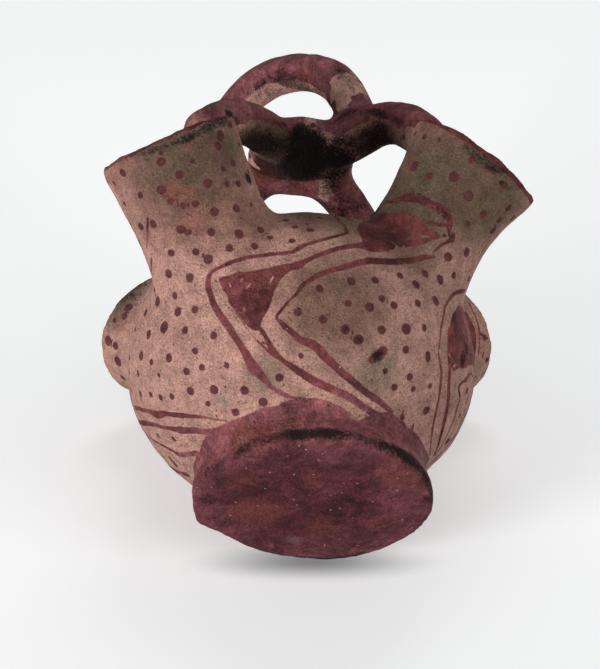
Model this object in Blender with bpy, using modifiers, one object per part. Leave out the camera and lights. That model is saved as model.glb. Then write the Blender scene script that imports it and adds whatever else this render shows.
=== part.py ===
"""Pottery loop-handle vase: one fired-clay vessel, hollow and open.

A low globular body stands on a short flared foot. Four trumpet spouts leave
its shoulder, about a quarter turn apart. An arched arm rises from the inner
lip of each spout to a hub above the body, and one round loop stands over the
hub, from the front right arm to the rear left arm.

Metres, +Z up. The origin is the centre of the flat underside. -Y is the front.
The clay is one piece, so the model is one object: the outside is fused from
turned and swept forms and softened like wet clay, then the hollow, the spout
bores and the flat underside are cut out of it.
"""

import math

import bmesh
import bpy
from mathutils import Matrix, Vector

PIECE_NAME = "loop_handle_vase"

# Body, a flattened ball that sits a little off the foot's centre
BODY_RADIUS = 0.0600
BODY_EQUATOR_HEIGHT = 0.0525
BODY_TOP_HEIGHT = 0.0995
BODY_SHOULDER = 2.35
BODY_BOTTOM_HEIGHT = 0.0050
BODY_SHIFT = Vector((-0.0040, 0.0, 0.0))

# Foot, a short disc with a flared edge
FOOT_RADIUS = 0.0400
FOOT_WAIST_RADIUS = 0.0370
FOOT_EDGE_HEIGHT = 0.0035
FOOT_HEIGHT = 0.0110

# Clay thickness
WALL = 0.0052
SPOUT_WALL = 0.0046
FLOOR_THICKNESS = 0.0080

# Spouts: where each mouth's centre is, how far it leans, and its radius at the lip, neck and root.
# The bearing runs from the front (-Y) towards the right (+X), in degrees.
SPOUTS = {
    "front_left": {
        "bearing": -35.0, "reach": 0.0786, "height": 0.1025, "lean": 42.0,
        "lip": 0.0245, "neck": 0.0219, "root": 0.0324,
    },
    "front_right": {
        "bearing": 57.0, "reach": 0.0734, "height": 0.1143, "lean": 46.0,
        "lip": 0.0256, "neck": 0.0199, "root": 0.0296,
    },
    "rear_right": {
        "bearing": 136.0, "reach": 0.0722, "height": 0.1020, "lean": 40.0,
        "lip": 0.0262, "neck": 0.0212, "root": 0.0272,
    },
    "rear_left": {
        "bearing": 229.0, "reach": 0.0708, "height": 0.1005, "lean": 40.0,
        "lip": 0.0258, "neck": 0.0212, "root": 0.0272,
    },
}
# A spout's axis bends from its root inside the body to the neck and the mouth
ROOT_REACH = 0.0240
ROOT_HEIGHT = 0.0480
NECK_DEPTH = 0.0300
TRUMPET_CURVE = 1.8
ROOT_CURVE = 1.6
LIP_ROUND = 0.0016
LIP_CORNER_SHARE = 0.3
MOUTH_CLEARANCE = 0.0090

# Arms, loop and hub
ARM_RADIUS = 0.0082
HUB_HEIGHT = 0.1475
HUB_RADIUS = 0.0205
HUB_HALF_THICKNESS = 0.0096
HUB_SAG = 0.0004
ARM_END_BELOW_LIP = {
    "front_left": 0.0022, "front_right": 0.0030, "rear_right": 0.0085, "rear_left": 0.0085,
}
# Two knuckles an arm: share of the way out to the lip, share of the fall to it
ARM_KNUCKLES = {
    "front_left": ((0.24, 0.08), (0.66, 0.33)),
    "front_right": ((0.36, 0.12), (0.69, 0.06)),
    "rear_right": ((0.38, 0.16), (0.72, 0.55)),
    "rear_left": ((0.35, -0.03), (0.70, 0.18)),
}
LOOP_TUBE_RADIUS = 0.0078
LOOP_HEIGHT = 0.0448
LOOP_BEARING = 55.0
# The loop's centre line: share of the arm's reach, share of the loop's height
LOOP_PATH = (
    (0.46, 0.03), (0.39, 0.38), (0.24, 0.70), (-0.03, 0.94), (-0.30, 1.00),
    (-0.54, 0.87), (-0.69, 0.57), (-0.76, 0.18), (-0.77, -0.38),
)

# Facets
TURN_STEPS = 48
PROFILE_STEPS = 20
SPOUT_STATIONS = 12
SPOUT_SIDES = 40
BAR_SIDES = 16
BAR_STEPS = 6
CLAY_GRAIN = 0.0020
SOFTENING = 8
KEPT_SHARE = 0.155

# The block that cuts the underside flat is this many foot radii wide
GROUND_SPAN = 4.0

CLAY_COLOUR = (0.45, 0.22, 0.16, 1.0)
CLAY_ROUGHNESS = 0.9


def clear_scene():
    for obj in list(bpy.data.objects):
        bpy.data.objects.remove(obj, do_unlink=True)


def new_collection(name):
    collection = bpy.data.collections.new(name)
    bpy.context.scene.collection.children.link(collection)
    return collection


def clay_material():
    material = bpy.data.materials.new("fired_clay")
    material.use_nodes = True
    shader = material.node_tree.nodes["Principled BSDF"]
    shader.inputs["Base Color"].default_value = CLAY_COLOUR
    shader.inputs["Roughness"].default_value = CLAY_ROUGHNESS
    shader.inputs["Metallic"].default_value = 0.0
    material.diffuse_color = CLAY_COLOUR
    return material


def hide_guide(obj):
    obj.hide_render = True
    obj.display_type = "WIRE"


def turned(name, profile, collection, matrix=Matrix.Identity(4)):
    """A solid of revolution: profile is (radius, height), top first, on the axis at both ends."""
    mesh = bpy.data.meshes.new(name)
    points = [(radius, 0.0, height) for radius, height in profile]
    edges = [(i, i + 1) for i in range(len(points) - 1)]
    mesh.from_pydata(points, edges, [])
    obj = bpy.data.objects.new(name, mesh)
    collection.objects.link(obj)
    screw = obj.modifiers.new("turn", "SCREW")
    screw.axis = "Z"
    screw.steps = TURN_STEPS
    screw.render_steps = TURN_STEPS
    screw.use_merge_vertices = True
    screw.merge_threshold = 0.00001
    obj.matrix_world = matrix
    hide_guide(obj)
    return obj


def oval_profile(radius, top, equator, bottom, shoulder=2.0):
    """Half an oval whose upper and lower halves have their own heights; shoulder squares the upper one."""
    profile = [(0.0, top)]
    for i in range(1, PROFILE_STEPS):
        angle = math.pi * i / PROFILE_STEPS
        across, up = math.sin(angle), math.cos(angle)
        if up > 0.0:
            across, up = across ** (2.0 / shoulder), up ** (2.0 / shoulder)
        half = top - equator if up > 0.0 else equator - bottom
        profile.append((radius * across, equator + half * up))
    profile.append((0.0, bottom))
    return profile


def foot_profile():
    return [
        (0.0, FOOT_HEIGHT + WALL),
        (FOOT_WAIST_RADIUS, FOOT_HEIGHT + WALL),
        (FOOT_WAIST_RADIUS, FOOT_HEIGHT),
        (0.5 * (FOOT_WAIST_RADIUS + FOOT_RADIUS), 0.5 * (FOOT_HEIGHT + FOOT_EDGE_HEIGHT)),
        (FOOT_RADIUS, FOOT_EDGE_HEIGHT),
        (FOOT_RADIUS, -FOOT_EDGE_HEIGHT),
        (0.0, -FOOT_EDGE_HEIGHT),
    ]


def outward(bearing):
    angle = math.radians(bearing)
    return Vector((math.sin(angle), -math.cos(angle), 0.0))


def mouth_direction(spout):
    lean = math.radians(spout["lean"])
    return outward(spout["bearing"]) * math.sin(lean) + Vector((0, 0, math.cos(lean)))


def spout_axis(spout):
    """Stations along the bent axis, from the mouth's centre down to the root: (point, depth)."""
    way_out = outward(spout["bearing"])
    mouth = BODY_SHIFT + way_out * spout["reach"] + Vector((0, 0, spout["height"]))
    neck = mouth - mouth_direction(spout) * NECK_DEPTH
    root = BODY_SHIFT + way_out * ROOT_REACH + Vector((0, 0, ROOT_HEIGHT))
    stations = []
    depth = 0.0
    for i in range(SPOUT_STATIONS + 1):
        t = i / SPOUT_STATIONS
        point = mouth * (1 - t) ** 2 + neck * (2 * t * (1 - t)) + root * t ** 2
        if stations:
            depth += (point - stations[-1][0]).length
        stations.append((point, depth))
    return stations


def spout_radius(depth, length, spout):
    """Outer radius at a depth below the lip: a trumpet above the neck, a root below it."""
    if depth <= NECK_DEPTH:
        share = 1.0 - depth / NECK_DEPTH
        return spout["neck"] + (spout["lip"] - spout["neck"]) * share ** TRUMPET_CURVE
    share = (depth - NECK_DEPTH) / (length - NECK_DEPTH)
    return spout["neck"] + (spout["root"] - spout["neck"]) * share ** ROOT_CURVE


def spout_form(name, spout, collection):
    stations = spout_axis(spout)
    mouth, length = stations[0][0], stations[-1][1]
    into = -mouth_direction(spout)
    corner = LIP_CORNER_SHARE * LIP_ROUND
    points = [mouth, mouth + into * corner, mouth + into * LIP_ROUND]
    radii = [spout["lip"] - LIP_ROUND, spout["lip"] - corner, spout["lip"]]
    for point, depth in stations[1:]:
        points.append(point)
        radii.append(spout_radius(depth, length, spout))
    swept(name, points, radii, SPOUT_SIDES, collection)


def bore_form(name, spout, collection):
    """The hollow of a spout: the trumpet less its wall, opened a little at the lip."""
    stations = spout_axis(spout)
    mouth, length = stations[0][0], stations[-1][1]
    into = -mouth_direction(spout)
    inner_lip = spout["lip"] - SPOUT_WALL
    points = [mouth - into * MOUTH_CLEARANCE, mouth, mouth + into * LIP_ROUND]
    radii = [inner_lip + LIP_ROUND, inner_lip + LIP_ROUND, inner_lip]
    for point, depth in stations[1:]:
        points.append(point)
        radii.append(spout_radius(depth, length, spout) - SPOUT_WALL)
    swept(name, points, radii, SPOUT_SIDES, collection)


def inner_lip_point(spout):
    """Reach and height of the point of the lip that is nearest to the vase's axis."""
    lean = math.radians(spout["lean"])
    inward = spout["reach"] - spout["lip"] * math.cos(lean)
    return inward, spout["height"] + spout["lip"] * math.sin(lean)


def swept(name, points, radii, sides, collection, smooth=False):
    """A closed round bar along the points, with its own radius at each of them."""
    curve = bpy.data.curves.new(name, "CURVE")
    curve.dimensions = "3D"
    curve.bevel_depth = 1.0
    curve.bevel_resolution = sides // 2 - 2
    curve.use_fill_caps = True
    spline = curve.splines.new("BEZIER" if smooth else "POLY")
    if smooth:
        curve.resolution_u = BAR_STEPS
        spline.bezier_points.add(len(points) - 1)
        knots = spline.bezier_points
    else:
        spline.points.add(len(points) - 1)
        knots = spline.points
    for knot, point, radius in zip(knots, points, radii):
        knot.co = point if smooth else (*point, 1.0)
        knot.radius = radius
        if smooth:
            knot.handle_left_type = "AUTO"
            knot.handle_right_type = "AUTO"
    path = bpy.data.objects.new(name + "_path", curve)
    collection.objects.link(path)
    evaluated = path.evaluated_get(bpy.context.evaluated_depsgraph_get())
    mesh = bpy.data.meshes.new_from_object(evaluated)
    mesh.name = name
    bpy.data.objects.remove(path, do_unlink=True)
    close_caps(mesh)
    bar = bpy.data.objects.new(name, mesh)
    collection.objects.link(bar)
    hide_guide(bar)


def close_caps(mesh):
    work = bmesh.new()
    work.from_mesh(mesh)
    bmesh.ops.remove_doubles(work, verts=work.verts, dist=0.00001)
    bmesh.ops.recalc_face_normals(work, faces=work.faces)
    work.to_mesh(mesh)
    work.free()


def arm_points(name):
    """From the hub, over two knuckles, down to just under the spout's inner lip."""
    spout = SPOUTS[name]
    reach, lip_height = inner_lip_point(spout)
    end_height = lip_height - ARM_END_BELOW_LIP[name]
    way_out = outward(spout["bearing"])
    shares = ((0.0, 0.0),) + ARM_KNUCKLES[name] + ((1.0, 1.0),)
    fall = HUB_HEIGHT - end_height
    return [
        BODY_SHIFT + way_out * (reach * out) + Vector((0, 0, HUB_HEIGHT - fall * down))
        for out, down in shares
    ]


def loop_points():
    reach, _ = inner_lip_point(SPOUTS["front_right"])
    along = outward(LOOP_BEARING)
    return [
        BODY_SHIFT + along * (reach * out) + Vector((0, 0, HUB_HEIGHT + LOOP_HEIGHT * up))
        for out, up in LOOP_PATH
    ]


def outside_forms(collection):
    shift = Matrix.Translation(BODY_SHIFT)
    body = oval_profile(
        BODY_RADIUS, BODY_TOP_HEIGHT, BODY_EQUATOR_HEIGHT, BODY_BOTTOM_HEIGHT, BODY_SHOULDER
    )
    turned("body_outside", body, collection, shift)
    turned("foot_outside", foot_profile(), collection)
    hub_middle = HUB_HEIGHT - HUB_SAG
    hub = oval_profile(
        HUB_RADIUS, hub_middle + HUB_HALF_THICKNESS, hub_middle, hub_middle - HUB_HALF_THICKNESS
    )
    turned("hub_outside", hub, collection, shift)
    for name, spout in SPOUTS.items():
        spout_form(name + "_spout_outside", spout, collection)
        arm = arm_points(name)
        swept(name + "_arm", arm, [ARM_RADIUS] * len(arm), BAR_SIDES, collection, smooth=True)
    loop = loop_points()
    swept("loop", loop, [LOOP_TUBE_RADIUS] * len(loop), BAR_SIDES, collection, smooth=True)


def hollow_forms(collection):
    body = oval_profile(
        BODY_RADIUS - WALL,
        BODY_TOP_HEIGHT - WALL,
        BODY_EQUATOR_HEIGHT,
        FLOOR_THICKNESS,
        BODY_SHOULDER,
    )
    turned("body_hollow", body, collection, Matrix.Translation(BODY_SHIFT))
    for name, spout in SPOUTS.items():
        bore_form(name + "_bore", spout, collection)


def ground_block(collection):
    size = GROUND_SPAN * FOOT_RADIUS
    bpy.ops.mesh.primitive_cube_add(size=size, location=(0, 0, -size / 2))
    block = bpy.context.object
    block.name = "ground_block"
    for owner in list(block.users_collection):
        owner.objects.unlink(block)
    collection.objects.link(block)
    hide_guide(block)


def add_boolean(obj, name, operation, collection):
    cut = obj.modifiers.new(name, "BOOLEAN")
    cut.operation = operation
    cut.operand_type = "COLLECTION"
    cut.collection = collection
    cut.solver = "EXACT"


def build_vase():
    model = new_collection(PIECE_NAME + "_part")
    outside = new_collection("outside_forms")
    hollow = new_collection("hollow_forms")
    ground = new_collection("ground")
    outside_forms(outside)
    hollow_forms(hollow)
    ground_block(ground)

    start = outside.objects["body_outside"]
    vase = start.copy()
    vase.data = start.data.copy()
    vase.name = PIECE_NAME
    vase.hide_render = False
    vase.display_type = "TEXTURED"
    outside.objects.unlink(start)
    bpy.data.objects.remove(start, do_unlink=True)
    model.objects.link(vase)
    vase.data.materials.append(clay_material())

    add_boolean(vase, "fuse", "UNION", outside)
    soften = vase.modifiers.new("wet_clay", "REMESH")
    soften.mode = "VOXEL"
    soften.voxel_size = CLAY_GRAIN
    soften.use_smooth_shade = True
    smooth = vase.modifiers.new("smoothed_joins", "SMOOTH")
    smooth.factor = 0.5
    smooth.iterations = SOFTENING
    add_boolean(vase, "hollow_out", "DIFFERENCE", hollow)
    thin = vase.modifiers.new("fewer_facets", "DECIMATE")
    thin.ratio = KEPT_SHARE
    add_boolean(vase, "flat_underside", "DIFFERENCE", ground)
    return vase


def main():
    clear_scene()
    build_vase()


main()
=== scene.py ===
import math

import bmesh
import bpy
import numpy as np
from bpy.props import FloatProperty, FloatVectorProperty, IntProperty, PointerProperty
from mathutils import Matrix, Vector, noise
from mathutils.bvhtree import BVHTree
from mathutils.kdtree import KDTree


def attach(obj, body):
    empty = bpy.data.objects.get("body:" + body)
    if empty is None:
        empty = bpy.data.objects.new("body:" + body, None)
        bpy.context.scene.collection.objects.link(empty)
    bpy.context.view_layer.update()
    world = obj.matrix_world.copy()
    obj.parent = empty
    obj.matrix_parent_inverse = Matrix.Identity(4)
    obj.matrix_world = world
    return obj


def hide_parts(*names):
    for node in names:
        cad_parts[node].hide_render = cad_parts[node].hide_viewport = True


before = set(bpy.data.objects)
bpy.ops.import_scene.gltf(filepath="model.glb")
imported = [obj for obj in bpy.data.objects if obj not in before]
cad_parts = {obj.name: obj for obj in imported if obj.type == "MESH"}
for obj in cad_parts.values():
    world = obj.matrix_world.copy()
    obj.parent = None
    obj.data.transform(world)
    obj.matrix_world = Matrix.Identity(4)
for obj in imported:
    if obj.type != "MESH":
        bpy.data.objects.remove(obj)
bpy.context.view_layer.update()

bl_info = {
    "name": "Four-spouted loop-handle vase",
    "version": (1, 0, 0),
    "blender": (4, 5, 0),
    "location": "3D View > Sidebar > Pottery",
    "description": "Dresses a hand-built clay vase with red slip ornament, soot and wear",
    "category": "Object",
}

NODE = "loop_handle_vase"
VASE = "fired_clay_vase"
MM = 0.001

# The vase's axis stands a little to the left of the origin, and the spouts repeat the source's own sizes.
AXIS = Vector((-0.004, 0.0, 0.0))
SPOUTS = {
    "front_left": {
        "bearing": -35.0, "reach": 0.0786, "height": 0.1025, "lean": 42.0, "lip": 0.0245, "band": 0.1,
    },
    "front_right": {
        "bearing": 57.0, "reach": 0.0734, "height": 0.1143, "lean": 46.0, "lip": 0.0256, "band": 3.0,
    },
    "rear_right": {
        "bearing": 136.0, "reach": 0.0722, "height": 0.1020, "lean": 40.0, "lip": 0.0262, "band": 2.0,
    },
    "rear_left": {
        "bearing": 229.0, "reach": 0.0708, "height": 0.1005, "lean": 40.0, "lip": 0.0258, "band": 2.0,
    },
}

# Middles of the four arms and of the loop, in millimetres.
ARMS = {
    "front_left": ((-4, 0, 147.5), (-12.3, -11.9, 145), (-26.9, -32.7, 137.3), (-38.6, -49.5, 116.7)),
    "front_right": ((-4, 0, 147.5), (12.8, -10.9, 145.4), (28.2, -20.9, 146.4), (42.6, -30.3, 129.7)),
    "rear_right": ((-4, 0, 147.5), (9.8, 14.2, 141.6), (22.1, 27, 127.1), (32.2, 37.5, 110.3)),
    "rear_left": ((-4, 0, 147.5), (-17.5, 11.7, 148.7), (-31, 23.4, 140.5), (-42.5, 33.5, 108.6)),
}
LOOP = (
    (17, -14.7, 148.8), (13.8, -12.4, 164.5), (6.9, -7.7, 178.9), (-5.4, 1, 189.6), (-17.7, 9.6, 192.3),
    (-28.6, 17.2, 186.5), (-35.4, 22, 173), (-38.6, 24.2, 155.6), (-39.1, 24.6, 130.5),
)

# Reach of the clay round those middles, heights where arms and loop begin, and the hub, in millimetres.
ARM_REACH = 13.0
ARM_BASE = 106
LOOP_REACH = 12.0
LOOP_BASE = 153
LOOP_ROOT = 138
HUB_MIDDLE = np.array((0, 0, 146))
HUB_REACH = 24
HUB_BASE = 120
# The loop's slip leaves its inner side bare, as seen from its heart, and a worn patch at its front root.
LOOP_HEART = np.array((-12.0, 5.0, 166.0))
BARE_PATCH = np.array((14, -17, 163))
BARE_PATCH_REACH = 6.5

# Depth below the lips from which the hollow is dark, and the band of a mouth on either side of its lip.
DARK_DEPTH = 12.0
MOUTH_BAND = (-2.0, 14.0)
MOUTH_CLEARANCE = 6.0
# A place on the hollow's floor, in millimetres
HOLLOW_FLOOR = (-4.0, 0.0, 20.0)
MERGE_DISTANCE = 0.00002

# Dots of the unseen sides: least and added radius, and the bare clay they need, in millimetres.
DOT_RADIUS = 0.8
DOT_RADIUS_SPREAD = 0.7
DOT_CLEARANCE = 3.2
SEEN_SIDE_REACH = 9
LOWEST_DOT = 20

# Soft lights of the stage: name, direction from the vase, distance and width in metres.
SOFT_LIGHTS = (
    ("side_light", (-0.74, -0.42, -0.53), 1.15, 0.55),
    ("low_light", (0.78, -0.50, -0.38), 1.3, 0.9),
    ("top_light", (0.10, -0.62, 0.78), 1.3, 0.6),
    ("back_light", (0.30, 0.85, 0.55), 1.3, 1.0),
)
LIGHT_AIM = Vector((-0.004, 0.0, 0.08))

# The camera: degrees below the vase's horizon, distance, metres a pixel at the vase and picture height.
CAMERA_DROP = 34.0
CAMERA_DISTANCE = 0.66
PIXEL = 0.00033
CAMERA_AIM = (-13.2, 170.3)
FOCAL_PIXELS = 2000.0
PICTURE_HEIGHT = 669.0
SENSOR = 24.0

# Brush lines of the front: x, y, z and half width, in millimetres.
FRONT_LINES = (
    ((18.6, -45, 27.8, 1.35), (20.4, -45.2, 28.9, 1.5), (22.4, -46, 30.3, 1.6)),
    ((6.7, -44.9, 85.9, 0.76), (8.2, -50, 80.2, 0.75), (9.8, -52.5, 76.1, 0.74), (10.9, -54.3, 72, 0.74),
     (10.4, -55.1, 70.4, 0.65), (2.8, -57.9, 66, 0.75), (-3.6, -59, 62.5, 0.81),
     (-6.2, -59.3, 60.4, 0.81), (-8.6, -59.2, 59.6, 0.81), (-18, -57.8, 59.3, 0.73),
     (-24.8, -57.7, 57.6, 0.68), (-31.9, -56.5, 54.7, 0.58), (-33.3, -55.5, 53.7, 0.74),
     (-33.9, -54.6, 52.5, 0.94), (-33.9, -53.1, 50.1, 1.03), (-33.2, -52.3, 48.2, 1.03),
     (-31.5, -51.7, 43.3, 1.06), (-27, -51, 35.9, 1.28), (-23.3, -49.2, 30.4, 1.11),
     (-19.8, -46, 25.1, 1.75), (-18.1, -44.9, 23.5, 1.69), (-13.3, -41.7, 19.3, 0.7),
     (-9.3, -40, 17.6, 0.8), (-6.8, -39.5, 16.9, 0.48), (-4, -39.1, 16.7, 0.48)),
    ((16.5, -54.4, 66.6, 1.22), (6.4, -58.3, 61.5, 0.94), (1, -59.2, 58.5, 0.9), (-6, -59.7, 53.8, 0.96)),
    ((-18, -53.4, 34.6, 0.48), (-16.3, -53.1, 33.1, 0.7), (-12.5, -50, 27.7, 0.86),
     (-9.3, -48.2, 24.9, 0.73), (-7.2, -47.4, 23.8, 1.08), (0.2, -43.7, 20.4, 1.33),
     (10.5, -38.6, 18.2, 1.25), (19.4, -31.9, 15.3, 1.29)),
    ((-28.2, -53.4, 43.4, 0.14), (-23.5, -53.4, 37.9, 0.16), (-20.2, -51.9, 33.2, 0.19),
     (-14.9, -50, 28.3, 0.57), (-12.1, -48.8, 26.1, 0.48)),
    ((40.2, -42, 70.4, 0.43), (36.9, -43, 69.8, 1), (35.1, -43.4, 68.7, 1.03), (32.6, -44.9, 66.9, 1.22),
     (27.7, -49.7, 63.1, 1.38), (25, -51.6, 61.8, 1.31), (17.7, -55.3, 59.2, 1.3), (10.4, -58, 55, 1.06),
     (5.3, -59, 52.9, 0.9), (1, -59.4, 50.4, 0.89), (-3.3, -59.3, 47, 0.86), (-5.3, -58.7, 44, 0.54),
     (-7.9, -57.9, 41.6, 0.35), (-11.7, -56, 37.1, 0.48), (-11.4, -55.5, 36.1, 0.57),
     (-10.2, -55.1, 34.9, 0.86), (-6.1, -53.6, 31.6, 1.04), (-4, -52.6, 30.2, 1.14),
     (0.4, -51.3, 28.6, 1.43), (6.9, -46.4, 24.1, 1.3), (16.2, -38.4, 20, 1.18),
     (20.3, -34.8, 19.1, 1.09), (25.2, -29.3, 18, 0.65)),
    ((24.5, -40.1, 95, 0.51), (26.1, -42.5, 93.4, 0.78), (28, -44.3, 92.6, 1.19),
     (31.8, -46.9, 91.9, 1.69), (35.2, -48.4, 90.5, 1.75), (37.1, -48.7, 89, 1.51),
     (39.1, -48.8, 87.7, 1.38), (42.9, -48.4, 85.9, 1.54), (44.4, -47.9, 85.2, 1.41),
     (45.4, -47.2, 84.1, 1.01), (45.9, -45.5, 81.6, 1.01), (45.4, -44.2, 78.9, 0.54),
     (45.7, -43.2, 77.7, 0.4)),
    ((33.3, -47.8, 92.1, 1.01), (33.5, -48.3, 95.1, 0.24)),
    ((47.1, -43.2, 78.6, 0.6), (46.6, -42.6, 77.3, 0.94), (44.7, -42.7, 76.2, 0.6),
     (42.8, -43, 74.8, 0.64), (40.2, -42.7, 72.2, 0.27)),
    ((37.7, -46.5, 81.4, 0.4), (41.3, -46.2, 80.9, 0.6), (45, -45.6, 81.1, 0.5)),
    ((51.3, -25.6, 68.3, 0.71), (48.8, -29.6, 65.1, 0.74), (47.1, -31.3, 63, 0.67),
     (45.6, -32.9, 60.3, 0.6), (43.8, -35.8, 55, 0.53), (43.4, -36.5, 52.9, 0.5), (42, -37, 45.9, 0.44),
     (41.1, -35.6, 39.4, 0.29), (41, -34.1, 37, 0.33), (41.8, -28.1, 31.7, 0.62),
     (40.3, -18.2, 24.2, 0.5), (39.2, -8.2, 20.4, 0.33), (39.1, 1.2, 19.5, 0.27)),
    ((44.6, -29.1, 37.3, 0.82), (44.8, -24.5, 33.6, 1.06), (44.5, -20.8, 30.3, 0.83),
     (44, -12.2, 26.1, 1.17), (43.1, -7.3, 24, 0.84), (42, 0.9, 22.4, 0.57), (40.9, 5.3, 21.6, 0.41)),
    ((54, -5.8, 42.6, 0.27), (55, -2.9, 46.5, 0.27), (54.1, -9, 44.4, 0.31), (52.9, -13.2, 43, 0.37),
     (51.2, -15.3, 39.3, 0.84), (49.7, -17.3, 36.9, 0.6), (48.7, -17.7, 35.4, 0.67),
     (48.4, -17, 34.5, 0.67), (49.1, -12.7, 33.3, 0.54), (48.1, -9.8, 30.7, 0.67), (47, -4.5, 28.3, 0.51),
     (44.9, -0.1, 25.3, 0.37), (41.9, 6.1, 22.7, 0.27)),
    ((51, -1.3, 34.2, 0.41), (50.3, 0, 32.8, 0.44), (49.3, 0.9, 31.1, 0.2)),
    ((52.6, -6.1, 38.2, 0.44), (52.3, -5.3, 37.2, 0.54), (52, -4.4, 36.5, 0.37)),
    ((58.5, 29.9, 102.4, 0.26), (60, 31.1, 99, 0.3), (61.9, 33.8, 94.4, 0.33), (62.3, 35.6, 91.2, 0.3),
     (62.2, 38.7, 86.9, 0.3), (61.7, 40.6, 84.7, 0.26)),
    ((62.9, 35.8, 92.1, 0.41), (64.3, 37.5, 92.1, 0.52), (65.7, 39.1, 92.4, 0.34)),
    ((63.9, 41.4, 87.4, 0.37), (63.7, 42.6, 86.4, 0.45)),
    ((-61, 1.3, 38.6, 0.79), (-59.1, -4.2, 34.7, 0.85), (-57.4, -7.3, 32.2, 0.78),
     (-55.5, -10.1, 30, 0.77), (-52.1, -13.5, 26.7, 1.43), (-48.5, -18, 24.2, 0.99),
     (-44.3, -20.9, 21.9, 0.98), (-36.8, -25.4, 18.4, 0.55), (-28.9, -28, 15.5, 0.23),
     (-27.9, -28.8, 15.5, 0.23)),
    ((-59.6, 7, 36.1, 0.86), (-57.1, -0.9, 30.9, 1.02), (-55.1, -4.4, 28.4, 1.01),
     (-52.8, -7.7, 26, 0.74), (-46.7, -13.2, 21.1, 0.99), (-43.8, -15.4, 19.4, 1.32),
     (-38.7, -19, 17.1, 1.31), (-36.3, -20.1, 16, 1.14), (-31.6, -22.8, 14.2, 1.46)),
    ((-55.4, 5, 28.8, 0.34), (-51.5, 1, 23.8, 0.61), (-47.2, -1.5, 19.9, 0.74), (-45.5, -1.5, 18.5, 0.84),
     (-43.7, -2.9, 17.4, 1), (-38.4, -9.1, 14.3, 0.99)),
    ((-47.4, 4.4, 20.3, 0.24), (-45.7, 6.9, 19.1, 0.37)),
    ((-53.7, -61.5, 71.6, 0.49), (-54, -58.1, 70.1, 0.56), (-54.1, -55.6, 69.1, 0.33),
     (-54.7, -50.5, 67.9, 0.3)),
    ((-53, -48.6, 64.9, 0.63), (-53.6, -42.8, 64.2, 0.43)),
    ((-62.2, -4.7, 42.7, 0.34), (-61.3, -5.8, 40.2, 0.34)),
    ((-58.3, -12.3, 35.5, 0.17), (-57.2, -12, 33.3, 0.23)),
    ((-54.5, -18.9, 32.3, 0.3), (-53.8, -18.1, 30.8, 0.23)),
    ((28.3, -25.2, 17, 0.72), (28.8, -26.4, 18.5, 0.62), (29.2, -27.3, 19.5, 0.32)),
    ((32.1, -19.6, 16.6, 0.72), (32.5, -20.2, 17.7, 0.59), (32.8, -20.7, 18.5, 0.26)),
)

# Solid slip shapes of the front, as corners in millimetres.
FRONT_SHAPES = (
    ((-30.8, -55.1, 52.2), (-29.4, -55.6, 52.7), (-26.9, -56, 52.8), (-24.6, -56.7, 53.9),
     (-19.8, -57.6, 53.5), (-13.7, -58.9, 54), (-8.3, -59.5, 55), (-1.8, -59.5, 57.1),
     (-3.1, -59.6, 53.8), (-5.1, -59.8, 52.6), (-7.7, -59.6, 52.1), (-10.3, -59.2, 49.6),
     (-12.9, -58.2, 44.8), (-13.4, -57.4, 41.9), (-14.1, -56.6, 39.9), (-16.7, -54.3, 35.9),
     (-17.1, -53.1, 33.5), (-19.2, -52.7, 33.9), (-21, -52.8, 35.2), (-24.2, -53.6, 39.3),
     (-27.3, -53.9, 43.9), (-27.9, -54.3, 46.7), (-29.1, -54.1, 48.5)),
    ((15.2, -49.6, 78.6), (16.4, -46.4, 82.4), (17.6, -43.2, 86.4), (19.6, -41, 89.2),
     (22.7, -40.1, 90.3), (25.9, -43.3, 87.7), (28.2, -44.8, 86.8), (30.5, -46, 87.2),
     (32.4, -46.4, 84.8), (33.8, -46.9, 84.8), (37.3, -46.4, 81.1), (39, -45.7, 79.2),
     (40.6, -45.5, 78.9), (43.2, -44.2, 77.5), (41.9, -44.1, 76.5), (39.2, -44.5, 75.8),
     (37.5, -44.1, 74.3), (29.8, -45.1, 72.3), (28.4, -46.2, 71.7), (27.4, -46.6, 72.2),
     (26.6, -48.6, 68.9), (23.8, -51.1, 66.2), (21.1, -52.9, 64.6), (18.4, -54.3, 63.9),
     (16.8, -54.8, 64.6), (15.1, -55.4, 64.3), (14.5, -55.1, 66.4), (16.2, -54, 68.4), (14.6, -52, 74)),
    ((48.8, -27.4, 61.2), (51.5, -18, 66.3), (55, -12, 63.5), (57.5, -7, 59), (58.5, -4, 53),
     (57, -5, 48.5), (53.9, -12.8, 47), (52.5, -16.3, 44.5), (51.4, -17.9, 42.3), (49.9, -20.6, 40.2),
     (48.7, -22.6, 39.4), (45.9, -25.3, 36), (44, -30, 37.4), (43.8, -31.9, 39.8), (43.9, -33.1, 42.4),
     (44.2, -33.9, 45), (44.7, -33.8, 47.7), (46.5, -31.9, 54.8)),
    ((57.2, 29.6, 97.9), (60.5, 33.2, 92.7), (60.9, 34.4, 90.5), (60.9, 37, 86.7), (60.4, 37.6, 85.1),
     (60.4, 40.4, 82.8), (57, 36, 83), (54, 31, 90), (55, 28, 97)),
)

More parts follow.
